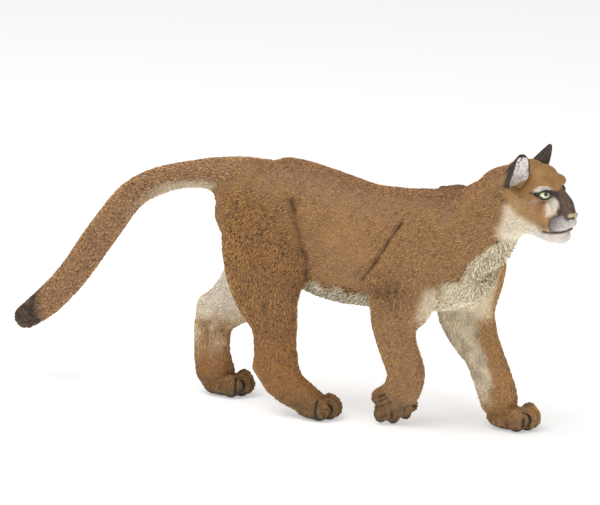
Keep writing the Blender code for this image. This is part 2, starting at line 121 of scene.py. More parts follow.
# Rows of a loft: x, y and z of the middle, half width across the body, half depth along the third axis
TORSO = (
    (-12.3, 0, 50.6, 3.8, 5.8),
    (-10.4, 0, 48.6, 6.7, 9.0),
    (-7.0, 0, 46.8, 8.6, 11.6),
    (-3.0, 0, 45.6, 9.6, 13.4),
    (2.0, 0, 44.9, 9.6, 14.1),
    (8.0, 0, 43.6, 9.1, 14.3),
    (15.0, 0, 41.7, 9.4, 14.5),
    (22.0, 0, 40.8, 9.9, 13.9),
    (30.0, 0, 40.8, 10.2, 13.7),
    (38.0, 0, 40.9, 10.0, 13.8),
    (44.0, 0, 42.3, 9.2, 12.9),
    (48.6, 0, 43.9, 7.4, 9.6),
    (51.3, 0, 43.7, 4.6, 5.6),
)
NECK = (
    (43.0, 0, 44.0, 8.6, 10.4),
    (47.6, 0, 46.5, 8.2, 8.6),
    (51.5, 0, 50.7, 7.6, 8.2),
    (53.4, 0, 52.4, 7.4, 7.3),
    (55.5, 0, 54.1, 7.1, 7.8),
    (59.7, 0, 56.2, 6.4, 6.8),
)
TAIL = (
    (-4.0, 0.0, 52.6, 4.8, 5.6),
    (-11.0, 0.0, 53.3, 4.3, 4.9),
    (-18.1, 0.1, 53.5, 3.6, 3.8),
    (-24.3, 0.4, 52.7, 3.2, 3.2),
    (-30.5, 0.8, 51.1, 3.2, 3.25),
    (-36.8, 1.1, 48.3, 3.3, 3.4),
    (-41.1, 1.3, 44.9, 3.4, 3.5),
    (-45.5, 1.3, 39.4, 3.5, 3.7),
    (-49.9, 1.2, 33.6, 3.5, 3.75),
    (-54.1, 1.0, 27.7, 3.5, 3.65),
    (-58.5, 0.7, 22.5, 3.45, 3.6),
    (-62.9, 0.3, 18.3, 3.35, 3.5),
    (-67.8, -0.1, 14.6, 2.9, 3.0),
)
RIGHT_THIGH = (
    (-2.5, -4.5, 47.0, 4.5, 9.0),
    (-2.2, -5.6, 41.0, 5.2, 10.4),
    (-1.6, -6.6, 35.5, 5.2, 10.0),
    (-0.9, -7.0, 30.5, 4.7, 9.1),
    (-0.1, -7.0, 26.0, 4.2, 7.6),
    (1.2, -6.9, 21.5, 3.7, 5.8),
    (1.2, -6.6, 17.0, 3.4, 5.3),
    (1.5, -6.2, 12.8, 3.3, 5.6),
    (2.9, -5.9, 9.6, 3.2, 4.6),
)
RIGHT_HIND_FOOT = (
    (-2.6, -6.1, 11.4, 2.5, 2.4),
    (0.7, -5.8, 9.5, 3.2, 4.3),
    (3.7, -5.3, 7.0, 3.3, 4.4),
    (7.3, -4.6, 4.8, 3.6, 3.8),
    (10.3, -4.2, 3.4, 3.9, 2.8),
)
LEFT_THIGH = (
    (-3.0, 4.5, 46.0, 4.6, 9.0),
    (-4.5, 5.8, 40.0, 5.0, 9.8),
    (-6.5, 6.4, 34.6, 4.8, 9.7),
    (-9.6, 6.2, 30.0, 4.4, 8.6),
    (-12.7, 5.9, 26.1, 3.9, 6.6),
    (-15.8, 5.6, 22.5, 3.6, 6.0),
    (-19.4, 5.3, 20.0, 3.2, 5.1),
)
LEFT_HIND_FOOT = (
    (-22.2, 5.2, 21.4, 2.6, 2.8),
    (-20.8, 5.1, 17.8, 3.2, 4.7),
    (-21.0, 5.3, 13.0, 3.2, 4.6),
    (-21.1, 5.6, 9.0, 3.3, 4.7),
    (-20.4, 5.9, 5.2, 3.8, 5.0),
)
RIGHT_FORELEG = (
    (37.0, -5.4, 47.0, 3.4, 6.6),
    (35.6, -6.6, 41.0, 4.0, 8.0),
    (33.9, -7.3, 35.0, 4.3, 8.5),
    (32.6, -7.6, 29.5, 4.2, 7.9),
    (31.3, -7.4, 25.0, 3.8, 5.7),
    (31.5, -6.6, 21.0, 3.5, 4.9),
    (32.2, -5.4, 17.0, 3.4, 4.8),
    (32.7, -4.0, 13.8, 3.4, 4.7),
    (32.0, -2.7, 10.6, 3.4, 4.6),
    (30.2, -1.5, 7.4, 3.5, 4.4),
)
LEFT_FORELEG = (
    (43.0, 5.0, 47.0, 3.4, 6.6),
    (44.4, 6.2, 41.0, 4.0, 7.8),
    (44.4, 6.8, 36.0, 4.2, 7.8),
    (43.4, 6.6, 31.0, 4.2, 7.4),
    (43.0, 5.8, 26.4, 4.0, 7.2),
    (45.0, 5.9, 20.8, 3.7, 6.0),
    (47.2, 6.1, 17.0, 3.5, 4.9),
    (48.6, 6.5, 13.2, 3.4, 4.8),
    (49.9, 6.9, 9.5, 3.5, 4.8),
    (50.8, 7.1, 6.0, 3.8, 4.7),
)
NOSE_BRIDGE = (
    (63.6, 0, 58.4, 3.4, 3.1),
    (66.5, 0, 56.4, 2.7, 2.6),
    (69.1, 0, 54.0, 2.2, 2.5),
    (70.1, 0, 52.7, 1.9, 1.9),
)
LEFT_JAW = (
    (58.8, 4.0, 51.4, 2.6, 3.0),
    (62.6, 3.2, 50.2, 2.4, 2.4),
    (67.2, 1.7, 47.6, 1.8, 1.8),
)

# Ellipsoids: the middle, the radii, and how far they lean about Y, in degrees
SHOULDERS = (
    ((40.8, 4.9, 49.4), (6.0, 3.2, 6.6), -20),
    ((37.0, -5.4, 46.8), (6.6, 3.4, 7.0), 15),
)
SKULL = (
    ((60.0, 0, 57.0), (6.6, 6.5, 6.8), 0),
    ((63.2, 0, 57.9), (4.2, 5.2, 5.2), 20),
    ((64.0, 0, 50.6), (5.4, 3.6, 3.0), 8),
    ((68.6, 0, 47.2), (2.2, 2.3, 1.7), -10),
)
LEFT_FACE = (
    ((65.6, 2.8, 59.3), (2.3, 2.1, 1.4), 15),
    ((68.5, 1.8, 50.3), (2.9, 2.3, 2.5), 0),
    ((66.0, 2.4, 53.0), (3.2, 2.6, 3.0), 25),
    ((61.6, 4.2, 53.2), (4.4, 3.4, 4.6), 0),
)

# Paws that stand flat: the heel, the front of the middle toes, half the width, height over the toes
FLAT_PAWS = (
    ((7.4, -4.1), (13.8, -3.8), 4.2, 5.4),
    ((-21.4, 6.1), (-13.5, 6.2), 4.2, 5.8),
    ((50.3, 7.3), (58.0, 7.2), 4.4, 5.7),
)
TOE_SPREAD = (-0.74, -0.27, 0.27, 0.74)
TOE_REACH = (-1.5, 0.15, 0.25, -1.2)
TOE_HALF_LENGTH = 2.5
# A flat paw's middle, half length and half height, and a toe's half width, in shares of the paw's sizes
PAW_MIDDLE = 0.42
PAW_HALF_LENGTH = 0.72
PAW_HALF_HEIGHT = 0.475
TOE_HALF_WIDTH = 0.33
# How a toe leans forwards, and how far the outer ones turn out, in degrees
TOE_LEAN = 8
TOE_FAN = 10
BENT_PAW = (
    ((28.8, -0.6, 5.8), (4.5, 3.8, 4.1), 35),
    ((25.6, -0.5, 5.9), (2.8, 3.2, 2.3), 0),
    ((26.2, -2.7, 3.1), (1.9, 1.5, 2.9), 10),
    ((28.5, -1.6, 2.6), (1.9, 1.5, 2.6), 0),
    ((30.4, 0.4, 3.3), (1.8, 1.4, 2.5), -10),
    ((31.5, 1.9, 4.5), (1.6, 1.3, 2.1), -20),
)

# Grooves of the head, left side: the line, half the width, the depth
HEAD_GROOVES = (
    (((71.2, 1.2, 49.05), (70.3, 2.9, 48.85), (68.7, 3.5, 48.55), (67.1, 3.9, 48.45), (66.0, 4.3, 48.7)),
     0.26, 0.6),
    (((72.0, 0, 51.4), (71.6, 0, 50.2), (71.2, 0, 49.0)), 0.3, 0.45),
    (((69.9, 3.0, 52.7), (68.3, 4.2, 52.6), (67.2, 4.5, 51.6), (66.8, 4.1, 50.2), (66.9, 3.9, 49.2)), 0.5,
     0.4),
    (((67.4, 3.4, 56.4), (68.0, 3.4, 55.0), (68.8, 3.6, 53.6)), 0.55, 0.35),
    (((62.2, 6.2, 56.9), (63.3, 5.8, 57.0), (64.3, 5.2, 56.7)), 0.3, 0.25),
)
# Ridges of the head, the same way round
HEAD_RIDGES = (
    (((63.2, 5.7, 58.4), (64.8, 5.0, 59.6), (66.6, 4.2, 59.4), (68.0, 3.0, 58.4)), 0.8, 0.35),
    (((64.2, 5.9, 55.6), (65.8, 5.3, 54.9), (67.2, 4.4, 54.9)), 0.7, 0.25),
)
# Grooves of the body: the line, half the width, the depth
BODY_GROOVES = (
    (((5.8, -8.2, 51.0), (6.9, -8.8, 47.8), (8.0, -9.0, 44.5), (8.7, -9.0, 41.1), (9.7, -8.5, 37.7),
      (9.0, -7.0, 32.5)), 1.0, 0.55),
    (((4.6, 8.9, 48.5), (4.3, 9.0, 42.1), (3.4, 8.6, 36.4), (1.6, 7.0, 31.5)), 1.1, 0.55),
    (((33.6, -8.5, 48.6), (30.9, -9.7, 44.5), (28.9, -10.0, 40.9), (26.4, -10.0, 37.6), (23.8, -9.3, 34.6)),
     0.65, 0.7),
    (((29.4, -10.0, 41.8), (27.0, -10.0, 38.4), (25.2, -9.7, 36.2)), 0.8, 0.3),
    (((42.0, 3.5, 54.9), (43.6, 3.5, 54.6), (45.4, 3.5, 54.4)), 1.5, -0.4),
    (((38.6, 4.5, 55.4), (41.5, 4.0, 56.0)), 1.7, 0.5),
    (((34.2, 4.5, 53.2), (37.0, 4.5, 54.6)), 1.3, -0.35),
    (((24.6, -9.4, 38.0), (22.4, -9.0, 35.2)), 0.4, 0.45),
    (((38.2, 8.8, 48.0), (36.9, 9.9, 43.5), (35.1, 10.2, 38.0), (33.9, 9.0, 32.8)), 0.65, 0.6),
    (((25.6, -9.4, 31.6), (27.6, -11.2, 31.6), (29.8, -11.6, 33.4), (32.6, -11.6, 30.4),
      (33.4, -11.4, 27.5)), 0.6, 0.3),
)
# The slit beside the outer toe of each flat paw
TOE_SLITS = (
    ((12.2, -7.3, 5.0), (12.2, -7.7, 3.9), (12.2, -7.9, 2.8), (12.1, -7.8, 1.5)),
    ((-13.7, 3.0, 4.7), (-13.6, 2.6, 3.3), (-13.7, 2.6, 2.2), (-13.8, 2.9, 1.0)),
    ((57.6, 4.3, 4.8), (58.2, 3.6, 3.0), (58.1, 3.7, 1.6)),
)
# The bent paw's folds: three at the wrist, then those of its toes
WRIST_FOLDS = (
    ((24.6, -2.8, 6.2), (25.7, -3.1, 6.5), (27.4, -3.6, 7.3)),
    ((24.9, -2.9, 5.2), (26.2, -3.3, 5.7), (28.3, -3.9, 6.8)),
    ((25.7, -3.5, 4.2), (27.1, -3.5, 4.8), (28.9, -4.0, 5.9)),
    ((29.3, -3.5, 4.0), (28.8, -2.9, 2.8), (28.6, -2.5, 1.7)),
    ((31.9, -2.7, 4.7), (31.5, -2.3, 3.7), (31.0, -1.3, 2.5)),
    ((31.9, -3.1, 5.1), (32.8, -2.9, 5.4), (33.2, -1.8, 5.3), (32.5, 1.4, 4.0)),
)
# The fuller fur where the throat meets the jaw
RUFF_MIDDLE = (59.0, 0.0, 46.9)
RUFF_REACH = (2.6, 5.0, 2.2)
RUFF_RISE = 0.9
# The painted shadow line under the far shoulder blade
WITHER_SHADOW_LINE = ((36.8, -3.2, 53.8), (39.2, -3.2, 53.8), (41.0, -2.0, 54.0), (43.3, -1.7, 54.1),
               (46.2, -3.7, 55.2))
# Creases of the paws: half their width, and how deep they are pressed in
CREASE_HALF_WIDTH = 0.34
CREASE_DEPTH = 0.6
# Half their width where dark wash, black paint and bare ground without strokes follow them
CREASE_WASH = 0.42
CREASE_PAINT = 0.28
CREASE_CLEAR = 0.55
# A slit's and a fold's width against a gap between toes, and how strong a fold is
SLIT_BREADTH = 1.3
FOLD_BREADTH = 1.1
FOLD_SHARE = 0.72

# The cells and the smoothing that blend the trunk's masses, and the smoothing of the whole skin
TRUNK_VOXEL = 0.6
TRUNK_SMOOTHING = 25
SKIN_SMOOTHING = 12

# A part's rows, and 1 where its coat lies the way that the rows run or -1 where it lies against them
PARTS = {
    "trunk": (TORSO, -1),
    "neck": (NECK, -1),
    "tail": (TAIL[1:], 1),
    "right_hind": (RIGHT_THIGH + RIGHT_HIND_FOOT[2:], 1),
    "left_hind": (LEFT_THIGH[:-1] + LEFT_HIND_FOOT[1:], 1),
    "right_fore": (RIGHT_FORELEG, 1),
    "left_fore": (LEFT_FORELEG, 1),
}
PART_NAMES = (*PARTS, "head")
HIND_LEGS = ("right_hind", "left_hind")
LEGS = (*HIND_LEGS, "right_fore", "left_fore")
HEAD_MIDDLE = (61.5, 0.0, 55.5)
HEAD_REACH = (9.5, 7.0, 9.0)
# How sharply the lie of one part gives way to the next, and what turns it on the haunch and the belly
LIE_SHARPNESS = 5
HAUNCH_LIE = (-0.45, 0, -0.5)
BELLY_LIE = (-0.3, 0, -0.6)

# Edges of the painted markings in x and z, seen from the side: the cream's upper edge, then outlines
UNDERSIDE = (
    (-20, 34.0), (-8, 31.0), (5, 31.5), (9, 31.8), (15, 31.2), (24, 31.6), (32, 30.0), (37.5, 30.2),
    (39.4, 33.2), (43.0, 34.9), (47.3, 36.4), (49.4, 40.2), (52.0, 42.5), (54.8, 44.6), (57.2, 46.6),
    (61.2, 49.0), (64.0, 49.6),
)
BROW_PATCH = (
    (63.5, 57.3), (64.4, 58.4), (65.6, 59.0), (67.1, 58.8), (68.0, 58.0), (67.2, 57.6), (65.1, 57.5),
)
CHEEK_PATCH = (
    (66.9, 56.3), (67.8, 56.2), (68.6, 55.2), (68.9, 53.9), (68.6, 52.9), (67.9, 52.4), (67.1, 52.5),
    (67.1, 53.3), (66.9, 54.6), (66.4, 55.5), (65.9, 56.2),
)
BRIDGE = (
    (67.6, 57.2), (68.2, 55.6), (68.8, 54.4), (68.9, 52.7), (69.8, 52.2), (71.0, 51.6), (73.5, 52.0),
    (72.5, 54.5), (70.0, 57.4), (68.6, 58.4),
)
TEAR_BAND = (
    (66.9, 57.9), (67.7, 56.5), (68.6, 55.4), (69.1, 54.0), (68.8, 52.6), (67.8, 52.1), (67.2, 50.6),
    (67.1, 49.6), (67.8, 50.4), (68.2, 51.8), (69.6, 52.3), (69.7, 54.0), (69.1, 55.8), (68.3, 57.6),
)
MUZZLE = (
    (68.6, 52.3), (70.0, 52.3), (71.0, 51.5), (72.6, 51.3), (72.6, 49.1), (70.8, 49.0), (69.0, 48.7),
    (67.7, 48.8), (67.3, 50.2), (67.8, 51.6),
)
WHISKER_SPOTS = ((69.2, 51.0), (69.9, 50.9), (69.0, 50.2), (69.7, 50.1), (70.3, 50.3))
CHIN = (
    (65.4, 48.5), (66.7, 48.5), (68.7, 48.5), (71.6, 48.9), (71.6, 46.0), (67.7, 45.0), (64.0, 46.5),
    (62.5, 48.0),
)
JAW_PATCH = (
    (57.9, 53.7), (59.1, 54.2), (61.2, 52.6), (63.8, 51.2), (65.1, 49.8), (65.9, 48.6), (62.9, 47.0),
    (57.0, 45.0), (55.4, 47.0), (57.0, 50.5),
)
# The lower lip's red-brown line
LIP_LINE = ((67.6, 0, 48.35), (69.6, 0, 48.45), (70.9, 0, 48.7))

# Soft spots of paint: the middle and the reach each way
BLUSH_SPOT = ((65.2, 5.3, 54.6), (1.3, 2, 1.2))
CHEEK_SPOT = ((61.0, 6.3, 54.5), (2.4, 3, 1.9))
EAR_ROOT_SPOT = ((57.6, 5.2, 60.0), (1.6, 2, 2.2))
SCUFFED_SPOT = ((57.0, 6.5, 55.4), (1.7, 3, 1.9))
BROW_SPOT = ((68.0, 2.4, 60.2), (1.6, 3, 1.5))
UNDER_EYE_SPOT = ((64.9, 5.2, 55.7), (1.1, 2, 0.5))
BLADE_SPOT = ((40.8, 4.0, 55.4), (5.5, 4, 2.2))
ELBOW_WASH_SPOT = ((31.0, -11, 33.0), (4.2, 4, 3.0))
# Spots where the strokes change: the smooth flank from the side, the elbows, the eye and the ear's foot
FLANK_SPOT = ((19, 42), (9, 7))
ELBOW_SPOTS = (((30.5, -10.5, 33), (5, 6, 4)), ((42, 10.5, 33), (5, 6, 4)))
BARE_EYE_SPOT = ((65.3, 4.8, 57), (2.6, 3, 2.0))
BARE_EAR_SPOT = ((60.8, 5.2, 61.0), (2.0, 2.6, 3.2))

# Shades mixed for a few brush marks
BLUSH = (0.42, 0.20, 0.12)
CHEEK_STRAW = (0.50, 0.37, 0.19)
UNDER_EYE_PINK = (0.62, 0.46, 0.36)
BLADE_RUST = (0.34, 0.155, 0.055)
LIP_BROWN = (0.36, 0.20, 0.15)
MOUTH_BROWN = (0.03, 0.014, 0.010)
# A painted highlight on the eye
EYE_PAINTED_HIGHLIGHT = (0.92, 0.93, 0.72)
EAR_SPECKS = (0.25, 0.19, 0.18)
EAR_PINK = (0.34, 0.21, 0.20)
EAR_FRONT_RIM = (0.08, 0.05, 0.033)
EAR_BACK_BROWN = (0.075, 0.045, 0.028)
CLAW_WEAR = (0.07, 0.05, 0.035)
FLOOR_GREY = (0.80, 0.79, 0.78)
# How a paint is thinned or deepened in some places: its red, green and blue times these
HEAD_TINT = (1.0, 0.96, 0.72)
HAUNCH_TINT = (0.98, 0.91, 0.74)
LEFT_FORE_TINT = (1.2, 1.18, 1.12)
SHANK_TINT = (0.92, 0.86, 0.74)
TAIL_TINT = (1.18, 1.22, 1.52)
TAIL_END_TINT = (0.75, 0.6, 0.45)
TAIL_STREAK_TINT = (1.9, 1.6, 1.1)
JAW_TINT = (1, 1.02, 1.08)
CHEEK_TINT = (0.98, 0.94, 0.87)
# The chin's white is greyed: its own grey, and painted shade under the jaw
CHIN_SHADE_TINT = (0.84, 0.83, 0.83)
MUZZLE_TINT = (1.0, 0.975, 1.01)
HOLLOW_TINT = (0.20, 0.14, 0.105)
RIDGE_TINT = (1.62, 1.65, 1.56)
THIN_TINT = (0.90, 0.87, 0.83)
THICK_TINT = (1.08, 1.07, 1.04)

# Strokes of fur: length, width, height, how many of the spots have one, and lift in radians
STROKES = {
    "coat": (1.1, 0.36, 0.17, 0.85, 0),
    "flank": (0.95, 0.34, 0.13, 0.8, 0),
    "haunch": (1.4, 0.40, 0.26, 0.95, 0),
    "back": (1.1, 0.36, 0.18, 0.9, 0),
    "elbow": (1.6, 0.42, 0.28, 0.95, 0),
    "tail": (1.3, 0.38, 0.22, 0.95, 0),
    "foot": (0.9, 0.34, 0.17, 0.85, 0),
    "belly": (2.2, 0.5, 0.34, 0.95, 0.55),
    "bib": (2.3, 0.52, 0.33, 0.75, 0.14),
    "throat": (2.2, 0.5, 0.36, 0.95, 0.8),
    "head": (0.75, 0.26, 0.07, 0.8, 0),
    "jaw": (1.2, 0.34, 0.11, 0.9, 0.05),
    "bare": (0.5, 0.2, 0.03, 0, 0),
}
# The height of a stroke above which the ground between the strokes is as dark as it gets
FULL_RELIEF = 0.24
# Along one stroke: the place, half the width and the height, in shares of its sizes
STROKE_STATIONS = ((0.18, 0.36, 0.72), (0.50, 0.50, 1.0), (0.80, 0.34, 0.85))
STROKE_SUNK = -0.6
# The smallest and the largest stroke against its plan, how many are tried for each spacing squared, and
# how much of the map one stroke takes
STROKE_SIZES = (0.7, 1.25)
STROKE_TRIES = 1.4
STROKE_PATCH = 0.003
# The spacing of the head's strokes against the rest, and where one trunk piece ends and the next begins
HEAD_SPACING = 0.8
RUMP_END = 9
FLANKS_END = 27

# Each kind of mark on a mesh's points: the key that holds it, and how many values it has
MARK_KINDS = {
    "FLOAT": ("value", 1),
    "FLOAT2": ("vector", 2),
    "FLOAT_VECTOR": ("vector", 3),
    "FLOAT_COLOR": ("color", 4),
}
# Marks that the paint reads, those that only set the strokes, and those that share out the skin
PAINT_MARKS = {"paint": "FLOAT_COLOR", "wash": "FLOAT", "relief": "FLOAT"}
STROKE_MARKS = {"lay": "FLOAT_VECTOR", "stroke": "FLOAT_VECTOR", "cover": "FLOAT", "lift": "FLOAT",
                "root": "FLOAT2"}
BED_MARKS = {"part": "FLOAT", "station": "FLOAT"}
MARKS = {**PAINT_MARKS, **STROKE_MARKS, **BED_MARKS}

# A claw's half thickness, what is left of it at the tip, its width against that, the angle that it hooks
# through, and how far it droops
CLAW_HALF_THICKNESS = 0.34
CLAW_TIP = 0.03
CLAW_NARROWING = 0.75
CLAW_HOOK = 1.0
CLAW_DROOP = 1.3
CLAW_SIDES = 12
CLAW_RINGS = 7
# How far behind a toe's front a claw's root lies, and how far below its middle in shares of the paw's height
CLAW_INSET = 0.8
CLAW_BELOW = 0.16

# The camera's place and aim, in design millimetres
CAMERA_PLACE = Vector((385.2, -780.8, 230.0))
CAMERA_AIM = Vector((0.0, 8.88, 35.0))
# Each light's place, aim and width, in metres
KEY_LIGHT = ((-0.15, -0.25, 0.75), (0, 0, 0.02), 0.7)
FILL_LIGHT = ((0.7, -0.7, 0.35), (0, 0, 0.03), 0.6)
FLOOR_HALF_SIZE = 6


# Settings that a user may change

class FigureSizes(bpy.types.PropertyGroup):
    coat_depth: bpy.props.FloatProperty(
        name="Coat depth", description="How far the skin lies inside the solids",
        default=0.00012, min=0.0, max=0.001, unit="LENGTH", precision=5)
    skin_voxel: bpy.props.FloatProperty(
        name="Skin fineness", description="The size of the cells that the skin is blended from",
        default=0.00026, min=0.0002, max=0.001, unit="LENGTH", precision=5)
    skin_triangles: bpy.props.IntProperty(
        name="Skin triangles", description="About how many triangles the skin keeps",
        default=190000, min=20000, max=198000)
    stroke_spacing: bpy.props.FloatProperty(
        name="Stroke spacing", description="The least distance between two strokes of fur",
        default=0.0005, min=0.0002, max=0.003, unit="LENGTH", precision=5)
    stroke_swing: bpy.props.FloatProperty(
        name="Stroke swing", description="How far a stroke may turn off the lie of the coat",
        default=math.radians(30), min=0.0, max=math.pi, unit="ROTATION")
    stroke_seed: bpy.props.IntProperty(
        name="Stroke seed", description="Fixes where the strokes fall", default=7)
    claw_length: bpy.props.FloatProperty(
        name="Claw length", description="The part of a claw that shows",
        default=0.0006, min=0.0002, max=0.003, unit="LENGTH", precision=5)


class FigurePaint(bpy.types.PropertyGroup):
    tan: bpy.props.FloatVectorProperty(
        name="Tan", description="The coat's main colour",
        subtype="COLOR", size=3, default=(0.43, 0.235, 0.088))
    rust: bpy.props.FloatVectorProperty(
        name="Rust", description="The redder brown of the back",
        subtype="COLOR", size=3, default=(0.31, 0.145, 0.058))
    cream: bpy.props.FloatVectorProperty(
        name="Cream", description="The pale throat, belly and inner legs",
        subtype="COLOR", size=3, default=(0.82, 0.735, 0.56))
    white: bpy.props.FloatVectorProperty(
        name="White", description="The muzzle, chin and brow",
        subtype="COLOR", size=3, default=(0.84, 0.80, 0.76))
    umber: bpy.props.FloatVectorProperty(
        name="Umber", description="The grey-brown of the nose's bridge",
        subtype="COLOR", size=3, default=(0.075, 0.052, 0.039))
    paw: bpy.props.FloatVectorProperty(
        name="Paw brown", description="The darker brown of the paws",
        subtype="COLOR", size=3, default=(0.24, 0.125, 0.032))
    black: bpy.props.FloatVectorProperty(
        name="Black", description="The tail's tip, lid lines, ear backs and claws",
        subtype="COLOR", size=3, default=(0.022, 0.017, 0.014))
    iris: bpy.props.FloatVectorProperty(
        name="Eye green", description="The painted iris",
        subtype="COLOR", size=3, default=(0.80, 0.85, 0.46))
    nose: bpy.props.FloatVectorProperty(
        name="Nose", description="The nose pad", subtype="COLOR", size=3, default=(0.62, 0.50, 0.29))


class FigureStudio(bpy.types.PropertyGroup):
    lens: bpy.props.FloatProperty(
        name="Lens", description="The camera's focal length",
        default=234.9, min=20.0, max=500.0, unit="CAMERA")
    key_power: bpy.props.FloatProperty(
        name="Key light", description="Power of the large soft light overhead",
        default=4.2, min=0.0, unit="POWER")
    fill_power: bpy.props.FloatProperty(
        name="Fill light", description="Power of the light beside the camera",
        default=1.5, min=0.0, unit="POWER")
    room_light: bpy.props.FloatProperty(
        name="Room light", description="Strength of the pale room around", default=0.42, min=0.0)
    floor_glow: bpy.props.FloatProperty(
        name="Floor glow", description="How much of its own light the pale floor gives",
        default=0.42, min=0.0)


# Small helpers

def smooth_step(low, high, value):
    share = np.clip((value - low) / (high - low), 0, 1)
    return share * share * (3 - 2 * share)


class Layers:
    """A row of values for each point, with other rows laid over them one after another."""

    def __init__(self, count, row):
        self.values = np.tile(np.array(row, float), (count, 1))

    def lay(self, row, share):
        """Lays one row, or one for each point, over what is there by each point's share."""
        share = np.clip(share, 0, 1)[:, None]
        self.values = self.values * (1 - share) + np.asarray(row) * share

    def tint(self, factors, share):
        """Multiplies the rows by these factors, by each point's share."""
        self.values = self.values * (1 + np.outer(share, np.array(factors) - 1))


def value_noise(points, size, seed=0):
    """Smooth noise from 0 to 1 with features of about this size."""
    cell = points / size + seed * 17.3
    low = np.floor(cell).astype(np.int64)
    share = cell - low
    share = share * share * (3 - 2 * share)
    total = np.zeros(len(points))
    for corner in np.ndindex(2, 2, 2):
        spot = low + np.array(corner)
        mix = (spot[:, 0] * 73856093) ^ (spot[:, 1] * 19349663) ^ (spot[:, 2] * 83492791) ^ (seed * 2654435)
        mix = (mix ^ (mix >> 13)) * 1274126177
        value = ((mix ^ (mix >> 16)) & 0xFFFF) / 65535.0
        weight = np.prod(np.where(np.array(corner) == 1, share, 1 - share), axis=1)
        total += value * weight
    return total


def distance_to_line(points, line):
    """The distance from each point to a line of several stretches."""
    best = np.full(len(points), np.inf)
    for start, end in zip(line, line[1:]):
        start = np.array(start, float)
        way = np.array(end, float) - start
        t = np.clip((points - start) @ way / (way @ way), 0, 1)
        best = np.minimum(best, np.linalg.norm(points - start - t[:, None] * way, axis=1))
    return best


def near_line(points, line, half_width):
    """How near each point is to a line, from 0 to 1."""
    return np.exp(-((distance_to_line(points, line) / half_width) ** 2))


def near_spot(points, middle, reach):
    """How near each point is to a soft spot that reaches this far each way, from 0 to 1."""
    return np.exp(-(((points - middle) / reach) ** 2).sum(1))


def zone(points, outline, soft):
    """1 inside an outline of x and z drawn from the side and 0 outside it, with an edge this soft."""
    x, z = points[:, 0], points[:, 2]
    inside = np.zeros(len(points), bool)
    best = np.full(len(points), np.inf)
    corners = list(outline)
    for (ax, az), (bx, bz) in zip(corners, corners[1:] + corners[:1]):
        if az != bz:
            inside ^= ((az > z) != (bz > z)) & (x < ax + (z - az) / (bz - az) * (bx - ax))
        way = np.array([bx - ax, bz - az])
        t = np.clip(((x - ax) * way[0] + (z - az) * way[1]) / (way @ way), 0, 1)
        best = np.minimum(best, np.hypot(x - ax - t * way[0], z - az - t * way[1]))
    return smooth_step(-soft / 2, soft / 2, np.where(inside, best, -best))


def on_side(point, side):
    """A point of the left side, or its mirror image for side -1."""
    return Vector((point[0], point[1] * side, point[2]))


def head_turn():
    turn = Matrix.Rotation(HEAD_YAW, 4, "Z")
    return Matrix.Translation(HEAD_PIVOT) @ turn @ Matrix.Translation(-HEAD_PIVOT)


def figure_shift():
    """How far the design was moved to centre the figure, in design millimetres, read off the left eye."""
    low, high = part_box("eye_left")
    return (low + high) / (2 * MM) - head_turn() @ EYE_CENTRE


def to_head(points):
    """Points of the design in the head's own unturned frame."""
    back = np.array(head_turn().inverted())
    return points @ back[:3, :3].T + back[:3, 3]


def mirrored(points):
    """Points with their right side folded over to the left, so that one table serves both sides."""
    return np.column_stack([points[:, 0], np.abs(points[:, 1]), points[:, 2]])


def read_all(items, key, width, kind=np.float32):
    """One value, or a row of them, for each item of a mesh."""
    found = np.empty(len(items) * width, kind)
    items.foreach_get(key, found)
    return found.reshape(-1, width) if width > 1 else found


def points_of(mesh):
    return read_all(mesh.vertices, "co", 3).astype(float)


def normals_of(mesh):
    return read_all(mesh.vertex_normals, "vector", 3).astype(float)


def triangles_of(mesh):
    return read_all(mesh.polygons, "vertices", 3, np.int32)


def move_to(mesh, points):
    mesh.vertices.foreach_set("co", points.astype(np.float32).ravel())
    mesh.update()


def store(mesh, name, kind, values):
    """Keeps one value or one row for each point of a mesh."""
    mark = mesh.attributes.new(name, kind, "POINT")
    mark.data.foreach_set(MARK_KINDS[kind][0], np.ascontiguousarray(values, np.float32).ravel())


def read_mark(mesh, name):
    return read_all(mesh.attributes[name].data, *MARK_KINDS[MARKS[name]])


def drop_marks(mesh, names):
    for name in names:
        if name in mesh.attributes:
            mesh.attributes.remove(mesh.attributes[name])


def linked(name, mesh):
    """A new object of the scene that shows this mesh."""
    made = bpy.data.objects.new(name, mesh)
    bpy.context.scene.collection.objects.link(made)
    return made


def object_from(name, builder):
    """A new object from a finished builder."""
    mesh = bpy.data.meshes.new(name)
    builder.to_mesh(mesh)
    builder.free()
    return linked(name, mesh)


def evaluated_mesh(made):
    graph = bpy.context.evaluated_depsgraph_get()
    return bpy.data.meshes.new_from_object(made.evaluated_get(graph))


def applied(made, kind, **settings):
    """Adds one modifier to an object and applies it."""
    modifier = made.modifiers.new(kind.title(), kind)
    for key, value in settings.items():
        setattr(modifier, key, value)
    mesh = evaluated_mesh(made)
    made.modifiers.clear()
    made.data = mesh
    return made


def placed(made, material):
    """Takes a piece from design millimetres to its place in the frame, with its paint."""
    made.data.transform(Matrix.Scale(MM, 4) @ Matrix.Translation(figure_shift()))
    made.data.materials.clear()
    made.data.materials.append(material)
    made.data.shade_smooth()
    return made


def in_frame(made, slot, *nodes):
    """Rides the piece on the figure, in place of these solids, which it hides. The slot is not used."""
    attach(made, "root")
    if nodes:
        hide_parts(*nodes)


# The masses under the skin

def smoothed_rows(rows, steps=5):
    """The rows with others between them, on a curve through all of them."""
    rows = np.array(rows, float)
    ends = np.vstack([2 * rows[0] - rows[1], rows, 2 * rows[-1] - rows[-2]])
    found = []
    for before, here, there, after in zip(ends, ends[1:], ends[2:], ends[3:]):
        for step in range(steps):
            t = step / steps
            line = 2 * here + (there - before) * t
            square = (2 * before - 5 * here + 4 * there - after) * t**2
            cube = (3 * here - before - 3 * there + after) * t**3
            found.append(0.5 * (line + square + cube))
    return np.array(found + [rows[-1]])


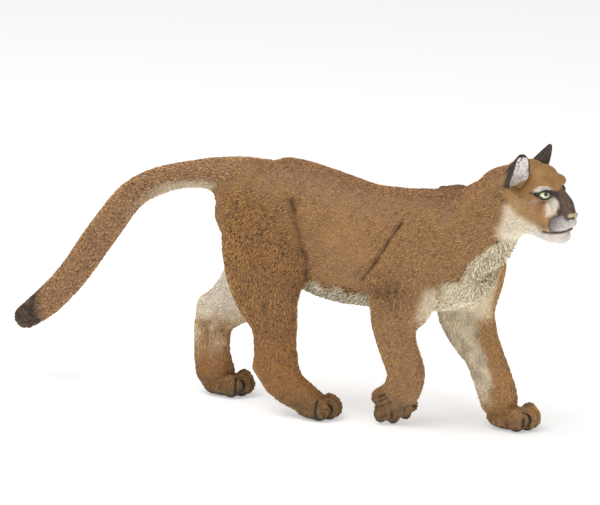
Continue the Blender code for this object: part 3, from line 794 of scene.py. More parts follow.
def frames_along(centres):
    """For each centre: the way along the path, the way across the body, and the third axis."""
    along = np.gradient(centres, axis=0)
    along /= np.linalg.norm(along, axis=1)[:, None]
    across = np.array([0.0, 1.0, 0.0]) - along[:, 1:2] * along
    across /= np.linalg.norm(across, axis=1)[:, None]
    return along, across, np.cross(along, across)


def add_loft(builder, rows, sides=40, cap_rings=6):
    """A closed tube with round ends through the rows."""
    rows = smoothed_rows(rows)
    along, across, third = frames_along(rows[:, :3])
    turns = np.linspace(0, 2 * math.pi, sides, endpoint=False)
    bends = [(k + 0.5) / (cap_rings + 0.5) * math.pi / 2 for k in range(cap_rings)]
    first = [(0, math.cos(bend), -math.sin(bend)) for bend in bends[::-1]]
    last = [(len(rows) - 1, math.cos(bend), math.sin(bend)) for bend in bends]
    rings = []
    for i, share, step in first + [(i, 1.0, 0.0) for i in range(len(rows))] + last:
        centre = rows[i, :3] + along[i] * step * rows[i, 3:5].min()
        side = np.outer(np.cos(turns) * rows[i, 3] * share, across[i])
        rise = np.outer(np.sin(turns) * rows[i, 4] * share, third[i])
        rings.append([builder.verts.new(point) for point in centre + side + rise])
    faces = [builder.faces.new(rings[0]), builder.faces.new(rings[-1][::-1])]
    for low, high in zip(rings, rings[1:]):
        for k in range(sides):
            faces.append(builder.faces.new((low[k], high[k], high[k - 1], low[k - 1])))
    bmesh.ops.recalc_face_normals(builder, faces=faces)


def add_ellipsoid(builder, middle, radii, lean=0.0, turn=0.0):
    """An ellipsoid, leaned about Y and then turned about Z, in degrees."""
    lean_matrix = Matrix.Rotation(math.radians(lean), 4, "Y")
    turn_matrix = Matrix.Rotation(math.radians(turn), 4, "Z")
    place = Matrix.Translation(middle) @ turn_matrix @ lean_matrix @ Matrix.Diagonal((*radii, 1))
    bmesh.ops.create_icosphere(builder, subdivisions=4, radius=1, matrix=place)


def add_head(builder):
    first = len(builder.verts)
    for mass in SKULL:
        add_ellipsoid(builder, *mass)
    add_loft(builder, NOSE_BRIDGE)
    for side in (1, -1):
        for middle, radii, lean in LEFT_FACE:
            add_ellipsoid(builder, on_side(middle, side), radii, lean)
        add_loft(builder, [(*on_side(row[:3], side), *row[3:]) for row in LEFT_JAW])
    builder.verts.ensure_lookup_table()
    bmesh.ops.transform(builder, matrix=head_turn(), verts=builder.verts[first:])


def paw_axes(heel, front):
    """A flat paw's heel and front on the floor, and the ways ahead and across."""
    heel = Vector((*heel, 0))
    front = Vector((*front, 0))
    ahead = (front - heel).normalized()
    return heel, front, ahead, Vector((-ahead.y, ahead.x, 0))


def toes_of(heel, front, half_width, height):
    """For each toe of a flat paw: its middle, and its turn about Z in degrees."""
    _, front, ahead, across = paw_axes(heel, front)
    turn = math.degrees(math.atan2(ahead.y, ahead.x))
    for spread, reach in zip(TOE_SPREAD, TOE_REACH):
        toe = front + across * spread * half_width + ahead * reach
        toe.z = height / 2
        yield toe, turn - spread * TOE_FAN


def way_at(turn):
    """The way ahead on the floor at a turn about Z in degrees."""
    return Matrix.Rotation(math.radians(turn), 3, "Z") @ Vector((1, 0, 0))


def add_flat_paw(builder, heel, front, half_width, height):
    start, end, ahead, _ = paw_axes(heel, front)
    length = (end - start).length
    turn = math.degrees(math.atan2(ahead.y, ahead.x))
    middle = start + ahead * length * PAW_MIDDLE + Vector((0, 0, height * PAW_MIDDLE))
    radii = (length * PAW_HALF_LENGTH, half_width, height * PAW_HALF_HEIGHT)
    add_ellipsoid(builder, middle, radii, 0, turn)
    for toe, toe_turn in toes_of(heel, front, half_width, height):
        radii = (TOE_HALF_LENGTH, half_width * TOE_HALF_WIDTH, height / 2)
        add_ellipsoid(builder, toe, radii, TOE_LEAN, toe_turn)


def blended(made, voxel, smoothing):
    """One closed surface from masses that overlap, with the folds between them softened."""
    applied(made, "REMESH", mode="VOXEL", voxel_size=voxel, adaptivity=0)
    return applied(made, "SMOOTH", factor=0.5, iterations=smoothing)


def whole_figure(voxel):
    """The figure in one fine surface, in design millimetres, without ears, eyes and nose."""
    builder = bmesh.new()
    for rows in (TORSO, NECK, TAIL, RIGHT_THIGH, LEFT_THIGH, RIGHT_FORELEG, LEFT_FORELEG,
                 RIGHT_HIND_FOOT, LEFT_HIND_FOOT):
        add_loft(builder, rows)
    for mass in SHOULDERS:
        add_ellipsoid(builder, *mass)
    trunk = blended(object_from("trunk", builder), TRUNK_VOXEL, TRUNK_SMOOTHING)
    builder = bmesh.new()
    builder.from_mesh(trunk.data)
    bpy.data.objects.remove(trunk)
    add_head(builder)
    for paw in FLAT_PAWS:
        add_flat_paw(builder, *paw)
    for mass in BENT_PAW:
        add_ellipsoid(builder, *mass)
    return blended(object_from("coat_skin", builder), voxel, SKIN_SMOOTHING)


# The eyes' and the ears' axes

def eye_axes(side):
    """The eye's middle on the ball's front, the way towards the nose, the way up and the way out."""
    out = on_side(EYE_OUT, side)
    ahead = (Vector((1, 0, 0)) - out * out.x).normalized()
    up = ahead.cross(out).normalized() * side
    if up.z < 0:
        up = -up
    return on_side(EYE_CENTRE, side), ahead, up, out


def eye_place(head_points, side):
    """Each point's place by one eye: towards the nose, up, and out from the ball's middle."""
    middle, ahead, up, out = eye_axes(side)
    away = head_points - np.array(middle)
    return away @ np.array(ahead), away @ np.array(up), away @ np.array(out)


def lid_curves(a):
    """The upper and the lower lid's edges at each place towards the nose."""
    upper = np.interp(a / LID_SIZE, *zip(*UPPER_LID)) * LID_SIZE
    lower = np.interp(a / LID_SIZE, *zip(*LOWER_LID)) * LID_SIZE
    return upper, lower


def lid_distance(a, b):
    """About how far a point is outside the lids' opening, less than 0 inside it."""
    upper, lower = lid_curves(a)
    past_ends = np.maximum(UPPER_LID[0][0] * LID_SIZE - a, a - UPPER_LID[-1][0] * LID_SIZE)
    return np.maximum(np.maximum(b - upper, lower - b), past_ends)


def ear_axes(side):
    """An ear's foot, the way up to its tip, the way that its cup faces, and the way to its front edge."""
    base = on_side(EAR_BASE, side)
    rise = on_side(EAR_TIP, side) - base
    facing = on_side(EAR_FACING, side)
    facing = (facing - rise * facing.dot(rise) / rise.length_squared).normalized()
    across = rise.cross(facing).normalized()
    return base, rise, facing, across if across.x > 0 else -across


def ear_outline(v):
    """Half the ear's width, and how far its middle sways forwards, at shares of the way up."""
    reach = (v - EAR_WIDEST) / np.where(v > EAR_WIDEST, EAR_TOP_REACH, EAR_FOOT_REACH)
    width = EAR_HALF_WIDTH * np.sqrt(np.clip(1 - np.abs(reach) ** EAR_FULLNESS, 0, 1))
    return width, EAR_SWAY * v * (1 - v) - EAR_FOOT_BACK * (1 - v) ** 2


# Sculpting

def pressed(points, normals, lines, body_points):
    """Moves the points in along each line's groove, or out where its depth is less than 0."""
    total = np.zeros(len(points))
    for line, half_width, depth in lines:
        total += near_line(body_points, line, half_width) * depth
    return points - normals * total[:, None]


def between_toes(points, half_width):
    """How near each point is to a gap between two toes of a flat paw, from 0 to 1."""
    share = np.zeros(len(points))
    for paw in FLAT_PAWS:
        toes = list(toes_of(*paw))
        for (one, turn), (two, next_turn) in zip(toes, toes[1:]):
            way = way_at((turn + next_turn) / 2)
            away = points - np.array((one + two) / 2)
            ahead = away @ np.array(way)
            aside = away @ np.array((-way.y, way.x, 0))
            gap = np.exp(-((aside / half_width) ** 2)) * smooth_step(-1.4, 0.2, ahead)
            share = np.maximum(share, gap * (ahead < TOE_HALF_LENGTH + 1) * (points[:, 2] < paw[3] + 1))
    return share


def creased(points, half_width):
    """How near each point is to a gap between toes or a crease of a paw, from 0 to 1."""
    slits = [near_line(points, line, SLIT_BREADTH * half_width) for line in TOE_SLITS]
    folds = [FOLD_SHARE * near_line(points, line, FOLD_BREADTH * half_width) for line in WRIST_FOLDS]
    return np.maximum.reduce([between_toes(points, half_width)] + slits + folds)


def side_on(points, line, half_width):
    """How near each point of the line's own side of the body is to it, seen from the side, from 0 to 1."""
    flat = [(x, 0, z) for x, _, z in line]
    wander = 0.9 * (value_noise(points, 2.0, 21) - 0.5)
    strength = 0.55 + 0.6 * value_noise(points, 1.3, 22)
    near = near_line((points + wander[:, None]) * (1, 0, 1), flat, half_width)
    return strength * near * (points[:, 1] * line[0][1] > 0)


def sculpt_eyes(points):
    """Opens the lids round each eye and raises their rims."""
    turn = np.array(head_turn())
    for side in (1, -1):
        a, b, c = eye_place(to_head(points), side)
        near = (np.hypot(a, b) < EYE_REACH) & (c > 0.2) & (c < 3.2)
        a, b, c = a[near], b[near], c[near]
        away = lid_distance(a, b)
        upper, lower = lid_curves(a)
        snap = (np.abs(away) < LID_SNAP) & (a > -2.0 * LID_SIZE) & (a < 1.6 * LID_SIZE)
        b = np.where(snap, np.where(np.abs(b - upper) < np.abs(b - lower), upper, lower), b)
        away = np.where(snap, 0.0, away)
        lens = 1 - (a / LENS_RADII[0]) ** 2 - (b / LENS_RADII[1]) ** 2
        front = LENS_MIDDLE + LENS_RADII[2] * np.sqrt(np.clip(lens, 0.0, 1))
        blend = smooth_step(0.1, 1.9, away)
        swell = LID_SWELL * np.exp(-((away - 0.35) / 0.3) ** 2)
        raised = (front + LID_RISE) * (1 - blend) + c * blend + swell
        c = np.where(away < -0.02, np.minimum(c, front - LENS_SEAT), raised)
        middle, ahead, up, out = eye_axes(side)
        moved = np.array(middle) + np.outer(a, ahead) + np.outer(b, up) + np.outer(c, out)
        points[near] = moved @ turn[:3, :3].T + turn[:3, 3]
    return points


def seat_ears(points):
    """Presses the skin back behind the cup of each ear."""
    for side in (1, -1):
        base, rise, facing, across = ear_axes(side)
        away = to_head(points) - np.array(base)
        v = away @ np.array(rise) / rise.length_squared
        width, sway = ear_outline(np.clip(v, 0, 1))
        aside = np.maximum(np.abs(away @ np.array(across) - sway) - width, 0)
        past = np.maximum(np.maximum(-v, v - 1), 0) * rise.length
        height = away @ np.array(facing)
        outside = np.hypot(aside, past)
        most = -1.0 + 2.8 * smooth_step(-0.1, 1.3, outside)
        near = (outside < 1.3) & (height > -2.5) & (height < 5)
        push = np.where(near, np.minimum(height, most) - height, 0)
        points = points + np.outer(push, head_turn().to_3x3() @ facing)
    return points


def seat_nose(points):
    """Presses the skin back behind the nose pad."""
    away = to_head(points) - np.array(NOSE_CENTRE)
    reach = np.hypot(away[:, 1] / NOSE_RADII.y, away[:, 2] / NOSE_RADII.z)
    front = NOSE_RADII.x * np.sqrt(np.clip(1 - reach**2, 0, 1)) - 0.25
    most = front + 3.0 * smooth_step(0.85, 1.35, reach)
    push = np.where((away[:, 0] > -2) & (reach < 1.35), np.minimum(away[:, 0], most) - away[:, 0], 0)
    return points + np.outer(push, head_turn().to_3x3() @ Vector((1, 0, 0)))


def sculpted(made, depth):
    """Presses the figure's folds, lids, lips and toes into the fine surface."""
    mesh = made.data
    points = points_of(mesh)
    normals = normals_of(mesh)
    face = mirrored(to_head(points))
    points = pressed(points, normals, HEAD_GROOVES, face)
    points = pressed(points, normals, [(line, half, -rise) for line, half, rise in HEAD_RIDGES], face)
    fold = sum(side_on(points, line, half_width) * depth for line, half_width, depth in BODY_GROOVES)
    points = points - normals * (fold + CREASE_DEPTH * creased(points, CREASE_HALF_WIDTH))[:, None]
    ruff = near_spot(points, RUFF_MIDDLE, RUFF_REACH)
    points += normals * (RUFF_RISE * ruff - depth)[:, None]
    points[:, 2] = np.maximum(points[:, 2], 0.02)
    move_to(mesh, seat_nose(seat_ears(sculpt_eyes(points))))


def thinned(made, triangles):
    """Fewer triangles, with the head and paws kept finer."""
    points = points_of(made.data)
    coarse = smooth_step(57, 53, points[:, 0]) * smooth_step(6, 10, points[:, 2])
    group = made.vertex_groups.new(name="coarse")
    steps = 5
    for level in range(1, steps + 1):
        chosen = np.nonzero(np.round(coarse * steps) == level)[0]
        group.add(chosen.tolist(), level / steps, "REPLACE")
    ratio = triangles / (2 * len(made.data.polygons))
    if ratio < 1:
        applied(made, "DECIMATE", ratio=ratio, vertex_group="coarse", vertex_group_factor=0.6)
    made.vertex_groups.clear()


# Parts of the body, and the coat's lie on them

def part_places(points):
    """For each part: how far each point is from it in its own sizes, the coat's lie there, how far along
    the part it is and its turn about it."""
    places = {}
    for name, (rows, way) in PARTS.items():
        rows = smoothed_rows(rows, 4)
        along, across, third = frames_along(rows[:, :3])
        best = np.full(len(points), np.inf)
        row = np.zeros(len(points), int)
        for i in range(len(rows)):
            away = points - rows[i, :3]
            reach = (away @ across[i] / rows[i, 3]) ** 2 + (away @ third[i] / rows[i, 4]) ** 2
            reach += (away @ along[i] / rows[i, 3:5].min()) ** 2
            closer = reach < best
            best[closer] = reach[closer]
            row[closer] = i
        away = points - rows[row, :3]
        side = (away * across[row]).sum(1) / rows[row, 3]
        rise = (away * third[row]).sum(1) / rows[row, 4]
        turn = np.arctan2(rise, side) / (2 * math.pi) + 0.5
        places[name] = (np.sqrt(best), along[row] * way, row / (len(rows) - 1), turn)
    head = to_head(points) - np.array(HEAD_MIDDLE)
    reach = np.linalg.norm(head / np.array(HEAD_REACH), axis=1)
    lie = np.column_stack([np.full(len(points), -1.0), 0.25 * np.sign(head[:, 1]),
                           -0.25 - 0.03 * head[:, 2]])
    turn = np.arctan2(head[:, 2], head[:, 1]) / (2 * math.pi) + 0.5
    places["head"] = (reach, lie, np.clip((head[:, 0] + 8) / 19, 0, 1), turn)
    return places


class SkinPoints:
    """The skin's points in design millimetres, with the part of the body that each is nearest to."""

    def __init__(self, mesh):
        self.points = points_of(mesh)
        self.normals = normals_of(mesh)
        self.head = to_head(self.points)
        self.face = mirrored(self.head)
        self.places = part_places(self.points)
        self.reach = {name: place[0] for name, place in self.places.items()}
        self.nearest = np.column_stack(list(self.reach.values())).argmin(axis=1)
        broad = value_noise(self.points, 3.0, 1) - 0.5
        self.wobble = broad + 0.6 * (value_noise(self.points, 1.1, 2) - 0.5)

    def on(self, *names):
        """Which points are nearest to one of these parts."""
        return np.isin(self.nearest, [PART_NAMES.index(name) for name in names])

    def spots(self):
        """Each point's place on its own part: how far along it is, and its turn about it."""
        spots = np.zeros((len(self.points), 2))
        for k, (_, _, along, turn) in enumerate(self.places.values()):
            here = self.nearest == k
            spots[here] = np.column_stack([along[here], turn[here]])
        return spots


def coat_lie(skin):
    """The way the coat lies at each point, along the surface."""
    normals, z = skin.normals, skin.points[:, 2]
    least = np.min(list(skin.reach.values()), axis=0)
    lie = sum(np.exp(-LIE_SHARPNESS * (reach - least))[:, None] * way
              for reach, way, _, _ in skin.places.values())
    haunch = sum(smooth_step(1.6, 1.0, skin.reach[leg]) for leg in HIND_LEGS)
    lie += np.outer(haunch * smooth_step(24, 34, z), HAUNCH_LIE)
    low = smooth_step(-0.2, -0.8, normals[:, 2]) * smooth_step(26, 30, z)
    lie += np.outer(low, BELLY_LIE)
    lie -= (lie * normals).sum(1)[:, None] * normals
    return lie / np.maximum(np.linalg.norm(lie, axis=1), 1e-6)[:, None]


# The painted markings

def paints_of(context):
    """The user's paints by name, as arrays."""
    settings = context.scene.figure_paint
    paints = {name: np.array(getattr(settings, name)) for name in FigurePaint.__annotations__}
    return SimpleNamespace(**paints)


def body_paint(skin, paint):
    """The coat's colours before the face: tan, a redder back, cream beneath and inside the legs."""
    x, y, z = skin.points.T
    reach = skin.reach
    coat = Layers(len(x), paint.tan)
    back = smooth_step(0.35, 0.95, skin.normals[:, 2]) * smooth_step(40, 48, z)
    coat.lay(paint.rust, 0.55 * back * (0.6 + 0.8 * value_noise(skin.points, 2.2, 6)))
    coat.lay(BLADE_RUST, 0.65 * near_spot(skin.points, *BLADE_SPOT))
    haunch = np.minimum.reduce([reach[leg] for leg in HIND_LEGS])
    coat.lay(paint.tan * HAUNCH_TINT, smooth_step(1.5, 1.0, haunch))
    depth = np.interp(x, *zip(*UNDERSIDE)) - z + 2.2 * skin.wobble
    leg = np.minimum.reduce([reach[name] for name in LEGS])
    off_leg = smooth_step(-0.15, 0.25, leg - np.minimum(reach["trunk"], reach["neck"]))
    under = smooth_step(-0.8, 0.9, depth) * np.maximum(off_leg, smooth_step(6.5, 3.0, np.abs(y)))
    under *= smooth_step(-14, -8, x) * smooth_step(24, 27, z)
    # The cream is darker along the belly than on the chest: painted shade under the body
    painted_shade = np.interp(x, (28, 38), (0.70, 0.92))[:, None]
    coat.lay(paint.cream * painted_shade, under)
    inner_leg_paint(coat, skin, paint)
    tail_paint(coat, skin, paint)
    paw_paint(coat, skin, paint)
    return coat


def inner_leg_paint(coat, skin, paint):
    """The pale insides of the legs, which face the camera on the two far ones."""
    wobble = skin.wobble
    z = skin.points[:, 2] + 2 * wobble
    inward = skin.normals[:, 1] * -np.sign(skin.points[:, 1]) + 0.25 * wobble
    left_hind, left_fore = skin.on("left_hind"), skin.on("left_fore")
    pale = smooth_step(-0.1, 0.4, inward) * smooth_step(16, 21, z)
    coat.lay((paint.cream + paint.white) / 2, 0.9 * pale * left_hind)
    mottled = smooth_step(-0.1, 0.5, inward) * smooth_step(7, 13, z) * (1 - smooth_step(16, 21, z))
    coat.lay(paint.cream, 0.8 * mottled * value_noise(skin.points, 1.2, 14) * left_hind)
    pale = smooth_step(0.1, 0.6, inward) * smooth_step(11, 20, z)
    coat.lay(paint.cream, 0.85 * pale * skin.on("right_hind"))
    edge = np.interp(skin.points[:, 2], (8, 24), (0.15, 0.42))
    pale = smooth_step(edge + 0.12, edge - 0.18, skin.normals[:, 0] + 0.3 * wobble)
    pale *= smooth_step(0.0, 0.4, inward) * smooth_step(4, 10, z)
    smoky = 0.64 + 0.24 * smooth_step(0.3, 0.7, value_noise(skin.points, 1.6, 15))
    coat.tint(LEFT_FORE_TINT, left_fore)
    coat.lay(paint.cream * smoky[:, None], 0.85 * pale * left_fore)
    pale = smooth_step(0.1, 0.6, inward) * smooth_step(13, 20, z)
    front = smooth_step(0.30, 0.65, skin.normals[:, 0]) * smooth_step(25, 28, z)
    front *= smooth_step(36.5, 31.5, z)
    coat.lay(paint.cream, np.maximum(0.85 * pale, 0.8 * front) * skin.on("right_fore"))


def tail_paint(coat, skin, paint):
    """The tail's lighter tan, its pale underside and its dark, streaked end."""
    on_tail = skin.on("tail")
    x = skin.points[:, 0]
    coat.lay(paint.tan * TAIL_TINT, 0.8 * on_tail)
    beneath = smooth_step(0.0, -0.7, skin.normals[:, 2] + 0.4 * skin.wobble) * smooth_step(-46, -24, x)
    coat.lay(0.82 * paint.cream, 0.75 * beneath * on_tail)
    streak = smooth_step(0.35, 0.75, value_noise(skin.points, 0.6, 16))[:, None]
    dark = paint.umber * (TAIL_END_TINT + TAIL_STREAK_TINT * streak)
    coat.lay(dark, smooth_step(-61.4, -64.6, x + 1.6 * skin.wobble) * on_tail)


def paw_paint(coat, skin, paint):
    """The darker shanks and paws, the black soles with painted contact shadow where they meet the floor, the
    creases, and the painted shadow line under the far shoulder blade.
    """
    points, wobble, z = skin.points, skin.wobble, skin.points[:, 2]
    coat.tint(SHANK_TINT, smooth_step(26, 14, z) * skin.on(*HIND_LEGS))
    low = smooth_step(7.5, 2.5, z + 3.0 * wobble) * (1 - 0.35 * skin.on("left_fore"))
    coat.lay(paint.paw * (0.45 + value_noise(points, 0.7, 9))[:, None], 0.85 * low)
    # Black along the bottom of the paws: the dark soles, and painted contact shadow where the paws meet the
    # floor
    coat.lay(paint.black, 0.9 * smooth_step(1.5, 0.5, z + 0.7 * wobble))
    # A painted shadow line under the far shoulder blade
    coat.lay(0.5 * paint.rust, 0.8 * near_line(points, WITHER_SHADOW_LINE, 0.5))
    folds = np.max([near_line(points, line, 0.3) for line in WRIST_FOLDS], axis=0)
    coat.lay(0.45 * paint.umber, 0.85 * folds)
    coat.lay(paint.black, np.clip(1.35 * creased(points, CREASE_PAINT), 0, 1) * (1 - folds))


def face_paint(coat, face, paint):
    """Paints the head's markings, and painted shade on the muzzle and the chin. The points are in the head's
    own frame, with the right side folded over.
    """
    x, y, z = face.T
    ragged = face + (np.column_stack([value_noise(face, 0.7, seed) for seed in (3, 4, 5)]) - 0.5) * 0.5
    coat.lay(paint.tan * HEAD_TINT, 0.6 * smooth_step(57, 59, x) * smooth_step(53, 57, z))
    coat.lay(BLUSH, 0.6 * near_spot(face, *BLUSH_SPOT))
    coat.lay(CHEEK_STRAW, 0.55 * near_spot(face, *CHEEK_SPOT))
    coat.lay(paint.umber, 0.75 * near_spot(face, *EAR_ROOT_SPOT))
    flecks = smooth_step(0.35, 0.65, value_noise(face, 0.7, 12))
    coat.lay(paint.umber, 0.6 * near_spot(face, *SCUFFED_SPOT) * flecks)
    coat.lay(paint.rust, 0.7 * near_spot(face, *BROW_SPOT))
    coat.lay(paint.cream * JAW_TINT, 0.85 * zone(ragged, JAW_PATCH, 2.4))
    streaks = 0.3 + 1.2 * value_noise(face * (0.6, 1.4, 0.6), 0.45, 18)
    coat.lay(paint.umber * streaks[:, None], 0.88 * zone(ragged, BRIDGE, 0.9))
    coat.lay(UNDER_EYE_PINK, 0.6 * near_spot(face, *UNDER_EYE_SPOT))
    coat.lay(paint.white * CHEEK_TINT, 0.95 * zone(ragged, CHEEK_PATCH, 1.2))
    coat.lay(paint.white, 0.95 * zone(ragged, BROW_PATCH, 0.4) * smooth_step(1.8, 2.8, y))
    coat.lay(1.6 * paint.black, 0.9 * zone(ragged, TEAR_BAND, 0.6))
    # The chin's white, greyed by its own grey and by painted shade under the jaw
    coat.lay(paint.white * CHIN_SHADE_TINT, 0.95 * zone(ragged, CHIN, 0.9))
    # The muzzle: a dark umber edge, and a white that darkens towards its back and top. Both are painted shade
    # where the muzzle turns away, with random mottling over it
    muzzle = zone(ragged, MUZZLE, 1.5)
    coat.lay(1.2 * paint.umber, 0.85 * smooth_step(0.1, 0.4, muzzle))
    painted_shade = np.interp(x + 0.5 * (50.5 - z), (68.4, 71.2), (0.26, 0.82))
    painted_shade *= 0.88 + 0.2 * value_noise(face, 0.8, 19)
    coat.lay(paint.white * MUZZLE_TINT * painted_shade[:, None], smooth_step(0.35, 0.95, muzzle))
    for spot_x, spot_z in WHISKER_SPOTS:
        away = np.hypot(x - spot_x, z - spot_z)
        coat.lay(paint.umber, 0.6 * np.exp(-((away / 0.2) ** 2)))
    profile = face * (1, 0, 1)
    mouth_line, split_line = HEAD_GROOVES[0][0], HEAD_GROOVES[1][0]
    coat.lay(LIP_BROWN, 0.6 * near_line(profile, LIP_LINE, 0.34))
    coat.lay(MOUTH_BROWN, 1.4 * near_line(profile, [(x, 0, z) for x, _, z in mouth_line], 0.21))
    coat.lay(paint.black, near_line(face, split_line, 0.42))


def lid_paint(coat, head_points, paint):
    """Paints the black line of the lids, with its tail towards the ear."""
    for side in (1, -1):
        a, b, c = eye_place(head_points, side)
        flat = np.column_stack([a, b, np.zeros(len(a))])
        rim = smooth_step(0.62, 0.38, np.where(c > 0, lid_distance(a, b), 9.0))
        tail = near_line(flat, [(-3.0, 0.12, 0), (-1.6, -0.02, 0)], 0.28)
        inner = near_line(flat, [(1.4, 0.6, 0), (2.2, 0.5, 0), (2.6, -0.4, 0)], 0.32)
        ends = np.maximum(tail, inner) * (c > 0) * smooth_step(2.6, 1.8, np.abs(c - 1.6))
        coat.lay(paint.black, np.maximum(rim, ends))


def wash_of(points):
    """How much dark wash lies in the folds at each point."""
    wash = 1.2 * creased(points, CREASE_WASH)
    for line, half_width, depth in BODY_GROOVES:
        wash = np.maximum(wash, side_on(points, line, half_width * 0.8) * min(1.1, depth * 2))
    elbow = near_spot(points, *ELBOW_WASH_SPOT) * smooth_step(0.42, 0.58, value_noise(points, 0.7, 17))
    sole = smooth_step(4.2, 1.6, points[:, 2]) * smooth_step(0.42, 0.62, value_noise(points, 0.7, 20))
    return np.clip(np.maximum.reduce([wash, 0.95 * elbow, 0.85 * sole]), 0, 1)


def stroke_plan(skin):
    """For each point: a stroke's length, width and height, how many there are, and their lift."""
    points, face = skin.points, skin.face
    x, y, z = points.T
    plan = Layers(len(points), STROKES["coat"])
    plan.lay(STROKES["flank"], near_spot(points[:, [0, 2]], *FLANK_SPOT))
    haunch = sum(np.exp(-((skin.reach[leg] / 1.25) ** 4)) for leg in HIND_LEGS)
    plan.lay(STROKES["haunch"], haunch * smooth_step(10, 26, z))
    plan.lay(STROKES["back"], smooth_step(0.5, 0.95, skin.normals[:, 2]) * smooth_step(44, 49, z))
    plan.lay(STROKES["elbow"], sum(near_spot(points, *spot) for spot in ELBOW_SPOTS))
    plan.lay(STROKES["tail"], skin.on("tail"))
    plan.lay(STROKES["foot"], smooth_step(12, 6, z))
    below = smooth_step(1.5, -0.5, z - np.interp(x, *zip(*UNDERSIDE)))
    plan.lay(STROKES["belly"], below * smooth_step(26, 28, z) * skin.on("trunk") * (x > 6) * (x < 30))
    trunk = skin.on("trunk", "neck")
    plan.lay(STROKES["bib"], below * smooth_step(36, 40, x) * smooth_step(28, 31, z) * trunk)
    throat = smooth_step(48, 50.5, x) * smooth_step(52, 49, z) * smooth_step(6, 3, np.abs(y))
    plan.lay(STROKES["throat"], throat * trunk)
    plan.lay(STROKES["head"], smooth_step(56.5, 59.5, face[:, 0]))
    plan.lay(STROKES["jaw"], zone(face, JAW_PATCH, 3.0))
    bare = [1.6 * near_spot(face, *BARE_EYE_SPOT), 1.3 * near_spot(face, *BARE_EAR_SPOT)]
    plan.lay(STROKES["bare"], np.maximum.reduce([smooth_step(65.2, 66.8, face[:, 0])] + bare))
    cover = plan.values[:, 3] * (1 - np.clip(1.5 * creased(points, CREASE_CLEAR), 0, 1))
    return plan.values[:, :3], cover * smooth_step(0.4, 1.2, z), plan.values[:, 4]


def mark_skin(mesh, paint):
    """Keeps the paint, wash, relief and lie of the coat on the skin's points."""
    skin = SkinPoints(mesh)
    coat = body_paint(skin, paint)
    face_paint(coat, skin.face, paint)
    lid_paint(coat, skin.head, paint)
    stroke, cover, lift = stroke_plan(skin)
    relief = np.clip(stroke[:, 2] / FULL_RELIEF, 0.35, 1.0) * smooth_step(0.0, 0.4, cover)
    relief *= 1 - 0.5 * smooth_step(0.3, 0.55, coat.values[:, 1])
    marks = {
        "paint": np.column_stack([np.clip(coat.values, 0, 1), np.ones(len(relief))]),
        "wash": wash_of(skin.points),
        "relief": relief,
        "lay": coat_lie(skin),
        "stroke": stroke * MM,
        "cover": cover,
        "lift": lift,
        "root": 0.01 + 0.98 * skin.spots(),
        "part": skin.nearest,
        "station": skin.points[:, 0],
    }
    for name, values in marks.items():
        store(mesh, name, MARKS[name], values)


# Materials

class Nodes:
    """Adds nodes to one tree, each joined to what it reads as it is made."""

    def __init__(self, tree):
        self.tree = tree

    def give(self, node, key, value):
        """Joins another node's output to an input, or sets the input to a value."""
        if isinstance(value, bpy.types.NodeSocket):
            self.tree.links.new(value, node.inputs[key])
        else:
            node.inputs[key].default_value = value

    def add(self, kind, inputs=(), **settings):
        """A node with its settings, and its inputs by name or by place."""
        node = self.tree.nodes.new(kind)
        for key, value in settings.items():
            setattr(node, key, value)
        for key, value in dict(inputs).items():
            self.give(node, key, value)
        return node

    def math(self, operation, *values, clamp=False):
        return self.add("ShaderNodeMath", enumerate(values), operation=operation,
                        use_clamp=clamp).outputs[0]

    def times(self, one, two):
        return self.math("MULTIPLY", one, two)

    def vector(self, operation, *values):
        return self.add("ShaderNodeVectorMath", enumerate(values), operation=operation)

    def mix(self, share, low, high, blend="MIX"):
        """The low colour, with the high one over it by the share."""
        low, high = (c if isinstance(c, bpy.types.NodeSocket) else (*c, 1) for c in (low, high))
        return self.add("ShaderNodeMix", {0: share, 6: low, 7: high}, data_type="RGBA",
                        blend_type=blend).outputs[2]

    def noise(self, place, size, detail, rough, distortion=0.0):
        inputs = {"Vector": place, "Scale": 1 / size, "Detail": detail, "Roughness": rough,
                  "Distortion": distortion}
        return self.add("ShaderNodeTexNoise", inputs).outputs["Fac"]

    def ramp(self, value, low, high):
        """0 at the low value, 1 at the high one, with a soft rise between them."""
        inputs = {"Value": value, "From Min": low, "From Max": high}
        return self.add("ShaderNodeMapRange", inputs, interpolation_type="SMOOTHSTEP").outputs["Result"]

    def mark(self, name, output="Fac"):
        """What a mark on the piece's points says."""
        return self.add("ShaderNodeAttribute", attribute_name=name).outputs[output]

    def field(self, name, kind="FLOAT"):
        """What a mark says, in a tree that makes geometry."""
        return self.add("GeometryNodeInputNamedAttribute", {"Name": name},
                        data_type=kind).outputs["Attribute"]


class PaintNodes(Nodes):
    """The nodes of a new material."""

    def __init__(self, name):
        self.material = bpy.data.materials.new(name)
        self.material.use_nodes = True
        super().__init__(self.material.node_tree)
        self.shader = self.tree.nodes["Principled BSDF"]

    def place(self):
        return self.add("ShaderNodeTexCoord").outputs["Object"]

    def finished(self, **settings):
        """The material, with its shader's inputs joined or set."""
        for key, value in settings.items():
            self.give(self.shader, key.replace("_", " "), value)
        return self.material

    def bump(self, height, strength, distance):
        inputs = {"Height": height, "Strength": strength, "Distance": distance}
        return self.add("ShaderNodeBump", inputs).outputs["Normal"]


